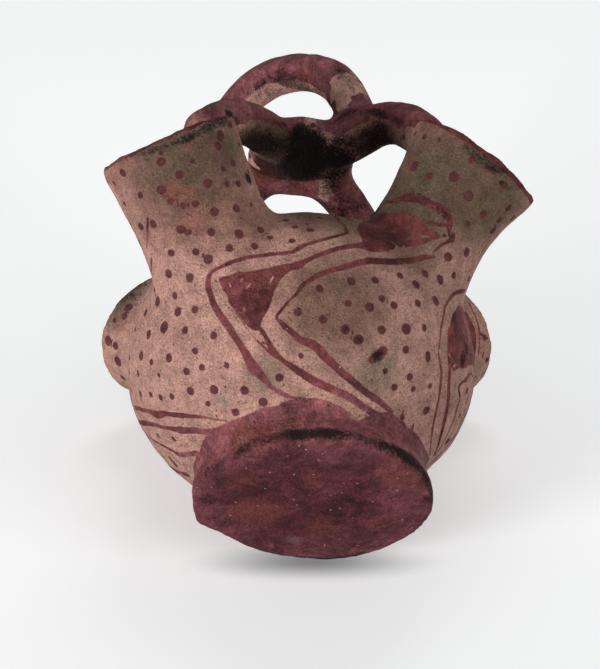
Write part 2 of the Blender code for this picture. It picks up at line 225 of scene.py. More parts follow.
# Buff slits left in the shapes: x, y, z and half width, in millimetres.
FRONT_SLITS = (
    ((26.1, -44.5, 79.6, 0.27), (27, -44.6, 78.9, 0.33), (27.6, -44.8, 78.4, 0.2)),
    ((30.8, -45.4, 80, 0.4), (32, -45.6, 80.1, 0.43), (32.7, -45.7, 80.2, 0.17)),
    ((35.7, -45.3, 76.8, 0.47), (38.7, -44.8, 76.6, 0.13)),
    ((30.9, -44.9, 75.8, 0.27), (33.9, -44.9, 75.7, 0.17)),
    ((25.9, -47.3, 73, 0.17), (28.2, -46.3, 71.7, 0.13)),
    ((-12.8, -59, 50.6, 0.19), (-13.6, -58.7, 49.2, 0.29), (-14.2, -58.5, 47.8, 0.13)),
    ((-20.2, -57.2, 48.9, 0.22), (-21, -56.9, 48.1, 0.35), (-21.6, -56.6, 47.4, 0.26)),
    ((-27, -55.3, 50.3, 0.26), (-26.6, -55.1, 49, 0.22)),
    ((-22.3, -54.9, 41, 0.41), (-22.2, -54.6, 40, 0.35)),
    ((-22.8, -56.7, 51.6, 0.13), (-23.3, -56.5, 50.4, 0.13)),
    ((51.2, -22.3, 49.7, 0.4), (52, -20.1, 49.4, 0.44)),
    ((46.1, -26.3, 37.4, 0.33), (47.2, -25.2, 38.8, 0.36)),
    ((50.3, -21.5, 42.6, 0.3), (50.7, -20.3, 42.4, 0.27)),
    ((44.4, -30.7, 39.2, 0.16), (45.1, -29.3, 38.8, 0.16)),
    ((50.3, -24.8, 52.1, 0.2), (50.9, -23.4, 52, 0.2)),
    ((26, -28.2, 17.6, 0.19), (27.7, -26.8, 17.9, 0.23)),
)

# Height of the red foot's upper edge round the vase, as bearing in degrees and height in millimetres.
FOOT_EDGE = (
    (-180, 15), (-150, 16.5), (-120, 14.4), (-94, 14.6), (-73, 14.1), (-52, 15.2), (-42, 14.5),
    (-26, 14.6), (-21, 15.4), (-13, 15.4), (-3, 16.7), (6, 16.9), (13, 16.4), (21, 14.7), (23, 13.9),
    (25, 11.5), (28, 11.3), (36, 15.7), (45, 17.7), (58, 16.9), (81, 17.3), (95, 19.8), (112, 18.4),
    (130, 15.5), (150, 16.5), (180, 15),
)

# Slip dots of the front and the two sides: x, y, z and radius, in millimetres.
FRONT_DOTS = (
    (-25, -32, 16, 1.4), (-16, -37, 17, 1.5), (29, -26, 18, 1), (-22, -39, 20, 1.5), (-34, -31, 20, 0.9),
    (-46, 7, 20, 1.1), (-48, 5, 21, 0.9), (-32, -36, 22, 1.6), (26, -36, 23, 1.2), (37, -22, 23, 1.2),
    (37, -22, 23, 1.5), (-40, -32, 24, 1.4), (32, -32, 25, 1.1), (-28, -44, 26, 0.9), (23, -41, 26, 0.9),
    (-46, -26, 26, 1.1), (31, -36, 27, 1.3), (38, -29, 28, 1), (-36, -40, 28, 1.2), (-50, -22, 28, 1.1),
    (-41, -36, 29, 1.2), (-54, -19, 31, 1), (14, -50, 32, 1.7), (-50, -28, 33, 0.8), (-38, -42, 33, 1.2),
    (30, -43, 33, 1.3), (10, -53, 34, 1.6), (37, -36, 34, 1.2), (37, -37, 35, 1.1), (-47, -35, 35, 1.5),
    (-58, -13, 35, 1.1), (-32, -48, 35, 1.3), (22, -50, 36, 1.5), (3, -56, 36, 1.4), (-53, -28, 38, 1.1),
    (-5, -57, 38, 1.4), (30, -46, 39, 1.9), (-42, -44, 40, 1.3), (-58, -18, 40, 1.2), (11, -56, 42, 1.2),
    (18, -54, 42, 1.6), (36, -42, 42, 1.1), (-57, -24, 43, 1.6), (26, -51, 45, 1.3), (-49, -38, 45, 2),
    (-38, -48, 45, 1.4), (2, -59, 46, 1.3), (-62, -10, 46, 1.1), (22, -53, 46, 1.2), (-44, -44, 47, 1.6),
    (-55, -31, 47, 1.6), (34, -46, 49, 1.3), (-62, -14, 49, 1.1), (12, -57, 50, 1.5), (20, -55, 52, 1.3),
    (-45, -46, 52, 1.2), (40, -40, 54, 1.9), (-40, -53, 54, 1.5), (33, -46, 56, 1.6), (-51, -37, 56, 1.8),
    (-56, -29, 57, 1.4), (28, -50, 57, 1.3), (-34, -58, 58, 1.6), (-47, -50, 58, 1.6),
    (-38, -59, 60, 1.3), (-27, -60, 61, 1.4), (-52, -37, 61, 1.2), (-46, -56, 62, 1.3),
    (37, -43, 63, 1.5), (-19, -58, 63, 1.3), (42, -38, 64, 1.7), (-40, -63, 65, 0.9), (-33, -63, 65, 1.3),
    (-7, -58, 65, 1.1), (-43, -63, 66, 1.5), (-24, -61, 66, 1.6), (-14, -57, 67, 1.1), (47, -35, 68, 1.1),
    (-17, -58, 70, 1.3), (-52, -61, 70, 1.4), (-32, -66, 71, 1.5), (-1, -57, 71, 1.4), (45, -40, 72, 1.6),
    (-42, -68, 72, 1.1), (-6, -56, 72, 1.1), (-56, -57, 72, 1.4), (-38, -69, 72, 1.2),
    (-46, -69, 73, 1.2), (-25, -64, 74, 1.4), (-2, -55, 74, 0.8), (52, -37, 76, 1.5), (-49, -71, 76, 1.6),
    (-56, -67, 77, 1.1), (-9, -54, 77, 1.1), (-20, -61, 78, 0.8), (-34, -72, 78, 1.6), (-70, 44, 78, 1.4),
    (2, -52, 79, 1.1), (-43, -75, 79, 1.4), (-28, -69, 80, 1.1), (-71, 37, 81, 2), (-49, -78, 82, 1.6),
    (-24, -67, 82, 1.1), (52, -44, 83, 1), (-39, -77, 83, 0.9), (-49, -80, 84, 0.7), (-29, -72, 84, 1),
    (-72, 33, 85, 1.5), (61, -36, 86, 1.3), (57, -44, 87, 1.4), (-75, 34, 88, 1.9), (63, -39, 88, 1.2),
    (-26, -70, 88, 1.2), (-31, -76, 90, 1.5), (52, -50, 90, 1.8), (66, -42, 91, 1.4), (64, 38, 92, 1.1),
    (68, -34, 93, 1.4), (-73, 28, 93, 0.9), (-69, 25, 93, 1.4), (64, -51, 94, 1.3), (-30, -77, 94, 1.7),
    (47, -54, 95, 1.8), (-67, 24, 96, 1.6), (60, -56, 96, 1), (39, -52, 97, 1.4), (58, -57, 97, 0.8),
    (53, -58, 99, 1.2), (34, -50, 103, 1.9),
)

# Plainer ornament of the unseen back: bearing in degrees, height and half width in millimetres.
BACK_LINES = (
    ((112, 20, 1.3), (126, 30, 1.2), (140, 43, 1.1), (150, 54, 1), (165, 60, 1), (182, 64, 1)),
    ((126, 18, 1.4), (142, 28, 1.3), (155, 39, 1.1), (168, 48, 1), (182, 52, 1), (196, 50, 1)),
    ((140, 17, 1.4), (156, 26, 1.2), (170, 35, 1), (184, 39, 1), (198, 36, 1), (214, 26, 1.2),
     (226, 17, 1.3)),
    ((196, 50, 1), (210, 42, 1.1), (226, 30, 1.2), (240, 18, 1.3)),
    ((182, 64, 1), (200, 63, 1), (216, 55, 1.1), (232, 42, 1.2), (246, 28, 1.3), (256, 17, 1.3)),
    ((98, 66, 0.9), (90, 58, 0.9), (88, 48, 0.8), (92, 38, 0.8), (99, 28, 0.8), (104, 20, 0.8)),
)
BACK_SHAPES = (
    ((176, 60), (190, 59), (193, 53), (181, 55.5)),
    ((177, 34), (184, 36), (191, 34), (184, 24)),
)

FOOT_RADIUS = 40.0
# The foot's outline, which isn't quite round: bearing from its right side in degrees, radius in mm.
FOOT_OUTLINE = (
    (-180, 40.3), (-160, 41.6), (-154, 40.4), (-147, 39.2), (-138, 38.6), (-121, 39.3), (-109, 39.4),
    (-100, 39.6), (-73, 41.9), (-30, 40.4), (10, 40), (50, 40.4), (80, 41), (97, 39.1), (114, 38.7),
    (124, 38.1), (141, 37.6), (149, 38.2), (157, 40.3), (161, 41.7), (180, 40.3),
)

# Soot, grime and painted shade: x, y, z, reach in millimetres, strength.
SOOT_AND_SHADE = (
    # The first spots lie round the hub's underside: partly real soot, partly painted shade under the hub.
    (-2, -6, 138, 12, 1), (-4, -9, 139, 11, 1), (10, -11, 140, 11, 0.9), (0, -15, 141, 9, 1),
    (-4, -19, 143, 6, 0.75), (24, -20, 137, 10, 0.4), (25, -25, 137, 5, 0.3), (-18, -20, 134, 11, 0.62),
    (-22, -24, 134, 9, 0.42), (-17, -26, 138, 8, 0.4), (12, 12, 134, 10, 0.45), (8, 2, 139, 9, 0.6),
    (16, 14, 136, 9, 0.4), (-21, -3, 142, 2, 0.7), (20, -25, 148, 4, 0.5), (14, -21, 150, 3, 0.45),
    (-18, -28, 136, 8, 0.35), (-29, -48, 127, 3, 0.9), (-26, -45, 127, 3, 0.7), (-21, -63, 87, 3, 0.9),
    (-3, -38, 14.5, 7, 0.42), (-8, -38.6, 13.5, 6, 0.36), (20, -31, 13, 7, 0.4), (25, -29, 13, 7, 0.45),
    (28, -26, 14, 6, 0.45), (20.4, -45.2, 28.9, 3.4, 0.62), (23, -41, 26, 1.6, 0.5), (9, 7, 0, 4, 0.5),
    (17, -1, 0, 5, 0.45), (0, 10, 0, 4, 0.35), (-10, -12, 0, 5, 0.3), (-22, 12, 0, 6, 0.35),
    (14, 18, 0, 5, 0.3), (27, 4, 0, 5, 0.3), (-35, -3, 1, 5, 0.6), (-12, 26, 0, 5, 0.3),
    (23, 21, 0, 5, 0.3), (37, -3, 1, 4, 0.5), (50, -22, 43, 4, 0.8), (51, -21, 48, 4, 0.7),
    (46, -31, 53, 3, 0.5), (44, -47, 84, 1.6, 0.8), (44, -44, 78, 1.3, 0.7), (63, -52, 94, 1.4, 0.9),
    (46, -56, 100, 8, 0.3), (38, -47, 84, 6, 0.28), (57, -46, 84, 7, 0.3), (-69, 25, 102, 8, 0.5),
    (-65, 23, 104, 8, 0.55), (22, -36, 93, 5, 0.7), (25, -41, 94, 3, 0.6), (14, -50, 32, 2.2, 0.6),
    (10, -53, 34, 2, 0.5), (30, 45, 98, 12, 0.3), (10, -4, 0, 9, 0.42), (18, 6, 0, 7, 0.4),
    (-30, 12, 0, 8, 0.42), (-6, 30, 0, 9, 0.4), (-50, 50, 98, 12, 0.3),
)

# Soot and painted shade that run along an edge, as lines of the same numbers.
SOOT_AND_SHADE_LINES = (
    # A dark band along the front of the foot's edge.
    ((-36, -16, 1.5, 3, 0.4), (-30, -26, 2, 3.4, 0.5), (-23, -32, 3, 3.4, 0.62), (-11, -38, 4, 3.4, 0.66),
     (-4, -39, 3.4, 3.4, 0.85), (4, -39, 3.6, 3.6, 0.9), (11, -38, 3, 3.2, 0.85),
     (19, -35, 2.6, 2.8, 0.75), (28, -29, 2.6, 3.2, 0.85), (34, -20, 3, 3.8, 0.85), (38, -12, 1, 3, 0.65),
     (40, -2, 1, 2.6, 0.5)),
    ((-64, -72, 86, 1.8, 0.35), (-59, -77, 85, 1.8, 0.45), (-50, -81, 85, 1.8, 0.5),
     (-41, -82, 88, 2.2, 0.6), (-35, -81, 93, 2.4, 0.62), (-32, -80, 96, 2.4, 0.65),
     (-28, -75, 101, 3, 0.75)),
    ((51, -60, 103, 2.4, 0.5), (58, -57, 98, 3.2, 0.65), (64, -54, 96, 2.6, 0.5)),
    ((-12, 0, 190, 1.6, 0.4), (-19, 4, 187, 2.4, 0.55), (-24, 8, 185, 2.6, 0.55),
     (-31, 14, 179, 2.4, 0.5)),
    ((9, -16, 178, 2.6, 0.5), (12, -18, 172, 2.8, 0.55), (14, -20, 166, 2.4, 0.5),
     (15, -20, 161, 2, 0.4)),
    ((7, -17, 149, 2.2, 0.5), (12, -20, 151, 2.4, 0.6), (17, -23, 150, 2.6, 0.65),
     (24, -28, 145, 2.6, 0.6), (29, -31, 140, 2.4, 0.55), (34, -34, 133, 2, 0.45)),
    ((-10, -22, 144, 2.2, 0.5), (-15, -29, 140, 2.2, 0.5), (-20, -36, 135, 2.4, 0.5),
     (-25, -44, 134, 2.6, 0.55)),
    # Painted contact shadow along the foot's rear rim, where it rests on the sheet.
    ((24, 31, 1, 3, 0.5), (12, 38, 1, 4, 0.7), (0, 40, 1, 4.5, 0.8), (-12, 38, 1, 4, 0.7),
     (-26, 31, 1, 3, 0.5)),
)

# Broad clouds of the clay's colour and of painted shade, by name: x, y, z, reach in millimetres, strength.
CLOUDS = {
    "smoke": (
        (-18, -24, 136, 20, 0.8), (-30, -70, 90, 14, 0.7), (-42, -76, 84, 24, 0.75),
        (30, -44, 96, 34, 0.9), (54, -50, 96, 28, 1), (8, -52, 84, 24, 0.8), (40, -40, 60, 28, 0.5),
        (14, -54, 40, 30, 0.45), (-4, 0, 102, 45, 0.7), (44, -10, 34, 20, 0.3), (-15, -45, 22, 10, 0.7),
        (20, -40, 26, 12, 0.7), (20, 40, 80, 30, 0.5), (-20, 50, 60, 26, 0.4),
    ),
    "umber": (
        (-18, -24, 136, 20, 1), (26, -26, 138, 18, 0.9), (5, -57, 42, 26, 0.8), (-40, -74, 80, 32, 1),
        (-19, -56, 46, 12, 0.6), (-34, -66, 104, 30, 0.9), (0, -50, 86, 24, 0.85), (46, -54, 98, 34, 1),
        (-24, -58, 74, 20, 0.8), (24, -48, 74, 22, 0.7), (-70, 28, 98, 14, 0.6), (-4, 30, 60, 40, 0.4),
        (-56, -60, 78, 14, 0.4),
    ),
    "blush": (
        (-66, -68, 86, 9, 0.8), (-60, -74, 84, 6, 0.6), (-45, -72, 75, 6, 0.8), (-40, -70, 74, 5, 0.7),
        (-40, -80, 86, 3, 0.7), (-38, -64, 68, 8, 0.6), (33, -48, 105, 6, 0.7), (-42, -53, 120, 9, 0.8),
        (62, 36, 92, 12, 0.45), (-50, -52, 66, 10, 0.3), (-60, -30, 60, 14, 0.3),
        (-44, -40, 44, 20, 0.25), (-30, 60, 70, 14, 0.4), (40, 50, 60, 14, 0.4),
    ),
    "moss": (
        (-26, -71, 94, 5, 0.8), (-32, -80, 96, 6, 0.6), (-44, -81, 86, 6, 0.5), (-29, -49, 128, 5, 0.7),
        (-69, 25, 102, 12, 0.95), (-74, 28, 95, 8, 0.6), (23, -39, 94, 8, 0.8), (13, -50, 78, 7, 0.4),
        (-34, -48, 132, 8, 0.8), (-28, -46, 133, 6, 0.7), (10, -17, 176, 6, 0.7), (13, -19, 168, 6, 0.6),
        (9, -58, 48, 6, 0.3), (-4, -54, 31, 6, 0.3), (-15, -45, 23, 8, 0.25), (21, -40, 25, 8, 0.2),
        (38, -51, 100, 14, 0.5), (24, -48, 72, 6, 0.35), (0, -50, 88, 9, 0.35),
    ),
    "tarnish": (
        # Darkening of the slip with a plum tint: painted shade over the whole foot's disc, and one spot on
        # the front.
        (-4, 0, 0, 52, 1), (-10, -54, 42, 8, 0.3),
    ),
    "rust": (
        (-20, 4, 0, 13, 0.7), (28, -19, 0, 10, 0.65), (24, 13, 0, 10, 0.45), (-2, -20, 0, 9, 0.6),
        (3, 16, 0, 8, 0.55), (-24, -14, 0, 9, 0.6), (-1, -45, 22, 3, 0.8), (5, -41, 19.5, 3, 0.8),
        (-17, -36, 6, 8, 0.9), (-26, -31, 8, 8, 0.85), (-8, -39, 8, 6, 0.6), (-34, -22, 8, 8, 0.6),
        (18, -36, 5, 6, 0.5), (-19, 3, 141, 9, 1), (-2, -7, 178, 7, 0.8), (-4, 9, 138, 8, 0.7),
        (40, -45, 78, 5, 0.5), (-12, -50, 26, 4, 0.6),
    ),
    "chalk": (
        (-29, -35, 20, 4, 0.8), (-48, -29, 31, 4, 0.6), (-6, 25, 0, 5, 0.5), (-4, -40, 5, 3, 0.4),
        (-24, -32, 6, 6, 0.4), (-12, -38, 7, 6, 0.4), (6, -39, 4, 2.5, 0.4), (33, -23, 4, 3, 0.5),
        (-22, -62, 84, 4, 0.4),
    ),
}


def group_interface(name, inputs, outputs):
    """A new shader group with named sockets; inputs are (name, kind, default)."""
    group = bpy.data.node_groups.new(name, "ShaderNodeTree")
    for label, kind, default in inputs:
        socket = group.interface.new_socket(label, in_out="INPUT", socket_type=kind)
        socket.default_value = default
    for label, kind in outputs:
        group.interface.new_socket(label, in_out="OUTPUT", socket_type=kind)
    entry = group.nodes.new("NodeGroupInput")
    leave = group.nodes.new("NodeGroupOutput")
    return group, entry, leave


def math_node(tree, operation, first, second=None, third=None, clamp=False):
    made = tree.nodes.new("ShaderNodeMath")
    made.operation = operation
    made.use_clamp = clamp
    for place, value in enumerate((first, second, third)):
        if value is None:
            continue
        if isinstance(value, (int, float)):
            made.inputs[place].default_value = value
        else:
            tree.links.new(value, made.inputs[place])
    return made.outputs[0]


def noise_node(tree, place, scale, detail=4.0, roughness=0.55, distortion=0.0):
    made = tree.nodes.new("ShaderNodeTexNoise")
    made.inputs["Scale"].default_value = scale
    made.inputs["Detail"].default_value = detail
    made.inputs["Roughness"].default_value = roughness
    made.inputs["Distortion"].default_value = distortion
    tree.links.new(place, made.inputs["Vector"])
    return made.outputs["Fac"]


def ramp(tree, value, low, high, bottom=0.0, top=1.0):
    """Value carried smoothly from bottom to top as it goes from low to high."""
    made = tree.nodes.new("ShaderNodeMapRange")
    made.interpolation_type = "SMOOTHSTEP"
    for socket, number in (("From Min", low), ("From Max", high), ("To Min", bottom), ("To Max", top)):
        if isinstance(number, (int, float)):
            made.inputs[socket].default_value = number
        else:
            tree.links.new(number, made.inputs[socket])
    tree.links.new(value, made.inputs["Value"])
    return made.outputs["Result"]


def blend_colour(tree, share, first, second, mode="MIX"):
    made = tree.nodes.new("ShaderNodeMix")
    made.data_type = "RGBA"
    made.blend_type = mode
    for socket, value in ((made.inputs[0], share), (made.inputs[6], first), (made.inputs[7], second)):
        if isinstance(value, (int, float)):
            socket.default_value = value
        elif isinstance(value, bpy.types.NodeSocket):
            tree.links.new(value, socket)
        else:
            socket.default_value = (*value[:3], 1.0)
    return made.outputs[2]


def attribute_node(tree, name):
    made = tree.nodes.new("ShaderNodeAttribute")
    made.attribute_name = name
    return made


def clay_grain_group():
    """Sand, pits and grits of hand-smoothed clay, as heights and masks."""
    group, entry, leave = group_interface(
        "Clay grain",
        [("Place", "NodeSocketVector", (0.0, 0.0, 0.0)), ("Coarse", "NodeSocketFloat", 1.0)],
        [("Height", "NodeSocketFloat"), ("Sand", "NodeSocketFloat"), ("Pits", "NodeSocketFloat"),
         ("Grits", "NodeSocketFloat"), ("Specks", "NodeSocketFloat")],
    )
    place = entry.outputs["Place"]
    sand = noise_node(group, place, 2100.0, 3.0, 0.75)
    fine = noise_node(group, place, 1300.0, 5.0, 0.7)
    crumbs = noise_node(group, place, 760.0, 3.0, 0.6)
    middle = noise_node(group, place, 420.0, 4.0, 0.6)
    broad = noise_node(group, place, 95.0, 2.0, 0.5)

    def scattered(scale, core, edge, picks):
        cells = group.nodes.new("ShaderNodeTexVoronoi")
        cells.inputs["Scale"].default_value = scale
        cells.inputs["Randomness"].default_value = 1.0
        group.links.new(place, cells.inputs["Vector"])
        near = ramp(group, cells.outputs["Distance"], core, edge, 1.0, 0.0)
        chosen = group.nodes.new("ShaderNodeSeparateColor")
        group.links.new(cells.outputs["Color"], chosen.inputs[0])
        found = []
        for channel, level in enumerate(picks):
            picked = ramp(group, chosen.outputs[channel], level, level + 0.05)
            found.append(math_node(group, "MULTIPLY", near, picked))
        return found

    pits, grits = scattered(640.0, 0.06, 0.26, (0.86, 0.93))
    specks, = scattered(1100.0, 0.10, 0.36, (0.76,))
    rough = math_node(group, "MULTIPLY_ADD", fine, 0.55, 0.0)
    rough = math_node(group, "MULTIPLY_ADD", crumbs, 0.95, rough)
    rough = math_node(group, "MULTIPLY_ADD", middle, 1.1, rough)
    rough = math_node(group, "MULTIPLY", rough, entry.outputs["Coarse"])
    height = math_node(group, "MULTIPLY_ADD", broad, 1.1, rough)
    height = math_node(group, "MULTIPLY_ADD", pits, -0.6, height)
    height = math_node(group, "MULTIPLY_ADD", grits, 0.22, height)
    for socket, value in zip(leave.inputs, (height, sand, pits, grits, specks)):
        group.links.new(value, socket)
    return group


def slip_edge_group():
    """Coverage of brushed slip from its distance to the edge in millimetres, ragged and worn through."""
    group, entry, leave = group_interface(
        "Slip edge",
        [
            ("Place", "NodeSocketVector", (0.0, 0.0, 0.0)),
            ("Gap", "NodeSocketFloat", 0.0),
            ("Ragged", "NodeSocketFloat", 0.8),
            ("Wear", "NodeSocketFloat", 0.3),
        ],
        [("Cover", "NodeSocketFloat")],
    )
    place = entry.outputs["Place"]
    wobble = noise_node(group, place, 260.0, 3.0, 0.6)
    crumbs = noise_node(group, place, 1100.0, 3.0, 0.7)
    wobble = math_node(group, "SUBTRACT", wobble, 0.5)
    wobble = math_node(group, "MULTIPLY", wobble, 2.2)
    crumbs = math_node(group, "SUBTRACT", crumbs, 0.5)
    moved = math_node(group, "MULTIPLY_ADD", crumbs, 0.9, wobble)
    moved = math_node(group, "MULTIPLY", moved, entry.outputs["Ragged"])
    gap = math_node(group, "ADD", entry.outputs["Gap"], moved)
    cover = ramp(group, gap, -0.22, 0.26, 1.0, 0.0)
    patches = noise_node(group, place, 190.0, 6.0, 0.78)
    worn = ramp(group, patches, 0.60, 0.72)
    worn = math_node(group, "MULTIPLY", worn, entry.outputs["Wear"])
    kept = math_node(group, "SUBTRACT", 1.0, worn, clamp=True)
    cover = math_node(group, "MULTIPLY", cover, kept)
    group.links.new(cover, leave.inputs["Cover"])
    return group


def grime_group():
    """Soot or grime broken up into smears and specks."""
    group, entry, leave = group_interface(
        "Grime",
        [
            ("Place", "NodeSocketVector", (0.0, 0.0, 0.0)),
            ("Amount", "NodeSocketFloat", 0.0),
            ("Specks", "NodeSocketFloat", 1.0),
        ],
        [("Cover", "NodeSocketFloat")],
    )
    place = entry.outputs["Place"]
    smears = noise_node(group, place, 110.0, 5.0, 0.65)
    specks = noise_node(group, place, 1250.0, 4.0, 0.75)
    smears = math_node(group, "SUBTRACT", smears, 0.5)
    specks = math_node(group, "SUBTRACT", specks, 0.5)
    specks = math_node(group, "MULTIPLY", specks, entry.outputs["Specks"])
    level = math_node(group, "MULTIPLY_ADD", smears, 1.35, entry.outputs["Amount"])
    level = math_node(group, "MULTIPLY_ADD", specks, 2.4, level)
    there = ramp(group, entry.outputs["Amount"], 0.02, 0.30)
    cover = ramp(group, level, 0.25, 0.85)
    cover = math_node(group, "MULTIPLY", cover, there)
    group.links.new(cover, leave.inputs["Cover"])
    return group


def fired_clay_material(look):
    """Buff clay under red slip, with sooty marks, smoky clouds, painted shade, grit and worn places."""
    material = bpy.data.materials.new("fired_clay_slip")
    material.use_nodes = True
    tree = material.node_tree
    tree.nodes.clear()
    output = tree.nodes.new("ShaderNodeOutputMaterial")
    shader = tree.nodes.new("ShaderNodeBsdfPrincipled")
    tree.links.new(shader.outputs[0], output.inputs["Surface"])
    place = tree.nodes.new("ShaderNodeTexCoord").outputs["Object"]
    grain = tree.nodes.new("ShaderNodeGroup")
    grain.node_tree = clay_grain_group()
    tree.links.new(place, grain.inputs["Place"])
    edge_tree = slip_edge_group()
    grime_tree = grime_group()

    def mask(name):
        return attribute_node(tree, name).outputs["Fac"]

    def slip_edge(gap, ragged, wear):
        made = tree.nodes.new("ShaderNodeGroup")
        made.node_tree = edge_tree
        tree.links.new(place, made.inputs["Place"])
        tree.links.new(gap, made.inputs["Gap"])
        made.inputs["Ragged"].default_value = ragged
        if isinstance(wear, (int, float)):
            made.inputs["Wear"].default_value = wear
        else:
            tree.links.new(wear, made.inputs["Wear"])
        return made.outputs["Cover"]

    def grime(name, specks, share=1.0):
        made = tree.nodes.new("ShaderNodeGroup")
        made.node_tree = grime_tree
        tree.links.new(place, made.inputs["Place"])
        tree.links.new(mask(name), made.inputs["Amount"])
        made.inputs["Specks"].default_value = specks
        return math_node(tree, "MULTIPLY", made.outputs["Cover"], share)

    def marks(name, slack):
        """Distance to the nearest stored mark, measured from its own middle so that it stays crisp."""
        away = tree.nodes.new("ShaderNodeVectorMath")
        away.operation = "DISTANCE"
        tree.links.new(place, away.inputs[0])
        tree.links.new(attribute_node(tree, name + "_point").outputs["Vector"], away.inputs[1])
        gap = math_node(tree, "MULTIPLY", away.outputs["Value"], 1000.0)
        gap = math_node(tree, "SUBTRACT", gap, mask(name + "_half"))
        return math_node(tree, "MAXIMUM", gap, math_node(tree, "SUBTRACT", mask(name + "_gap"), slack))

    def shaded(colour, value, low, high, dark, bright):
        return blend_colour(tree, 1.0, colour, ramp(tree, value, low, high, dark, bright), "MULTIPLY")

    def flecked(colour, label, share, tint):
        """Colour with one of the grain's masks over it; the share is a number or a mask."""
        return blend_colour(tree, math_node(tree, "MULTIPLY", grain.outputs[label], share), colour, tint)

    def tinted(colour, share, tint):
        return blend_colour(tree, share, colour, blend_colour(tree, 1.0, colour, tint, "MULTIPLY"))

    # Bare clay: pink where it took the fire, greyer in smoky clouds and in painted shade, brown where
    # handled, stained in places.
    cloud = math_node(tree, "SUBTRACT", noise_node(tree, place, 34.0, 4.0, 0.6), 0.5)
    smoked_and_shaded = ramp(tree, math_node(tree, "MULTIPLY_ADD", cloud, 0.9, mask("smoke")), 0.05, 0.95)
    patch = math_node(tree, "SUBTRACT", noise_node(tree, place, 120.0, 5.0, 0.7), 0.5)
    browned = ramp(tree, math_node(tree, "MULTIPLY_ADD", patch, 0.7, mask("umber")), 0.05, 0.95)
    clay = blend_colour(tree, smoked_and_shaded, look.pink_clay, look.smoked_and_shaded_clay)
    clay = tinted(clay, browned, look.umber)
    clay = blend_colour(tree, grime("blush", 0.4, 0.55), clay, look.blush)
    clay = blend_colour(tree, grime("moss", 0.5, 0.6), clay, look.moss)
    clay = blend_colour(tree, grime("chalk", 0.6, 0.4), clay, look.chalk)
    clay = shaded(clay, noise_node(tree, place, 190.0, 6.0, 0.74), 0.34, 0.66, 0.72, 1.14)
    clay = shaded(clay, grain.outputs["Sand"], 0.33, 0.67, 0.66, 1.28)
    freckle = ramp(tree, noise_node(tree, place, 1000.0, 2.0, 0.7), 0.57, 0.70, 0.0, 0.7)
    clay = blend_colour(tree, freckle, clay, look.freckle)
    sooty = ramp(tree, noise_node(tree, place, 60.0, 3.0, 0.6), 0.36, 0.64, 0.25, 1.0)
    clay = flecked(clay, "Specks", sooty, (0.06, 0.04, 0.03))
    clay = flecked(clay, "Pits", 0.8, (0.05, 0.03, 0.025))
    clay = flecked(clay, "Grits", 0.5, (0.55, 0.43, 0.35))

    # Red slip: thick and plum-coloured, thin and rusty where brushed out.
    streaks = tree.nodes.new("ShaderNodeMapping")
    streaks.inputs["Rotation"].default_value = (0.3, 0.2, 0.5)
    streaks.inputs["Scale"].default_value = (1.0, 1.0, 0.16)
    tree.links.new(place, streaks.inputs["Vector"])
    slip = blend_colour(tree, mask("plum"), look.red_slip, look.plum_slip)
    slip = tinted(slip, math_node(tree, "MULTIPLY", browned, 0.9), (0.66, 0.62, 0.60))
    slip = shaded(slip, noise_node(tree, place, 62.0, 5.0, 0.7, 0.6), 0.34, 0.66, 0.56, 1.42)
    slip = shaded(slip, noise_node(tree, streaks.outputs[0], 520.0, 3.0, 0.6), 0.32, 0.68, 0.86, 1.14)
    rust = grime("rust", 0.5, 0.75)
    thin = ramp(tree, noise_node(tree, place, 140.0, 5.0, 0.75, 0.5), 0.58, 0.76, 0.0, 0.6)
    # Painted shade on the foot's disc, with a plum tint: the slip is darkened there.
    slip = tinted(slip, mask("tarnish"), look.tarnish)
    slip = blend_colour(tree, math_node(tree, "MAXIMUM", rust, thin), slip, look.rusty_slip)
    slip = shaded(slip, noise_node(tree, place, 300.0, 5.0, 0.78), 0.34, 0.66, 0.68, 1.16)
    slip = shaded(slip, grain.outputs["Sand"], 0.32, 0.68, 0.76, 1.22)
    slip = flecked(slip, "Pits", 0.75, (0.02, 0.012, 0.012))
    slip = blend_colour(tree, grime("moss", 0.5, 0.35), slip, look.moss)
    slip = blend_colour(tree, grime("chalk", 0.8, 0.35), slip, look.chalk)
    painted = slip_edge(mask("slip_gap"), 0.40, mask("wear"))
    drawn = slip_edge(marks("line", 0.28), 0.34, 0.30)
    bare = math_node(tree, "SUBTRACT", 1.0, slip_edge(marks("slit", 0.6), 0.5, 0.0), clamp=True)
    painted = math_node(tree, "MULTIPLY", math_node(tree, "MAXIMUM", painted, drawn), bare)
    surface = blend_colour(tree, painted, clay, slip)

    dots = math_node(tree, "MULTIPLY", slip_edge(marks("dot", 0.75), 0.42, 0.22), 0.95)
    dot_slip = shaded(look.dot_slip, noise_node(tree, place, 420.0, 4.0, 0.7), 0.34, 0.66, 0.72, 1.30)
    surface = blend_colour(tree, dots, surface, dot_slip)

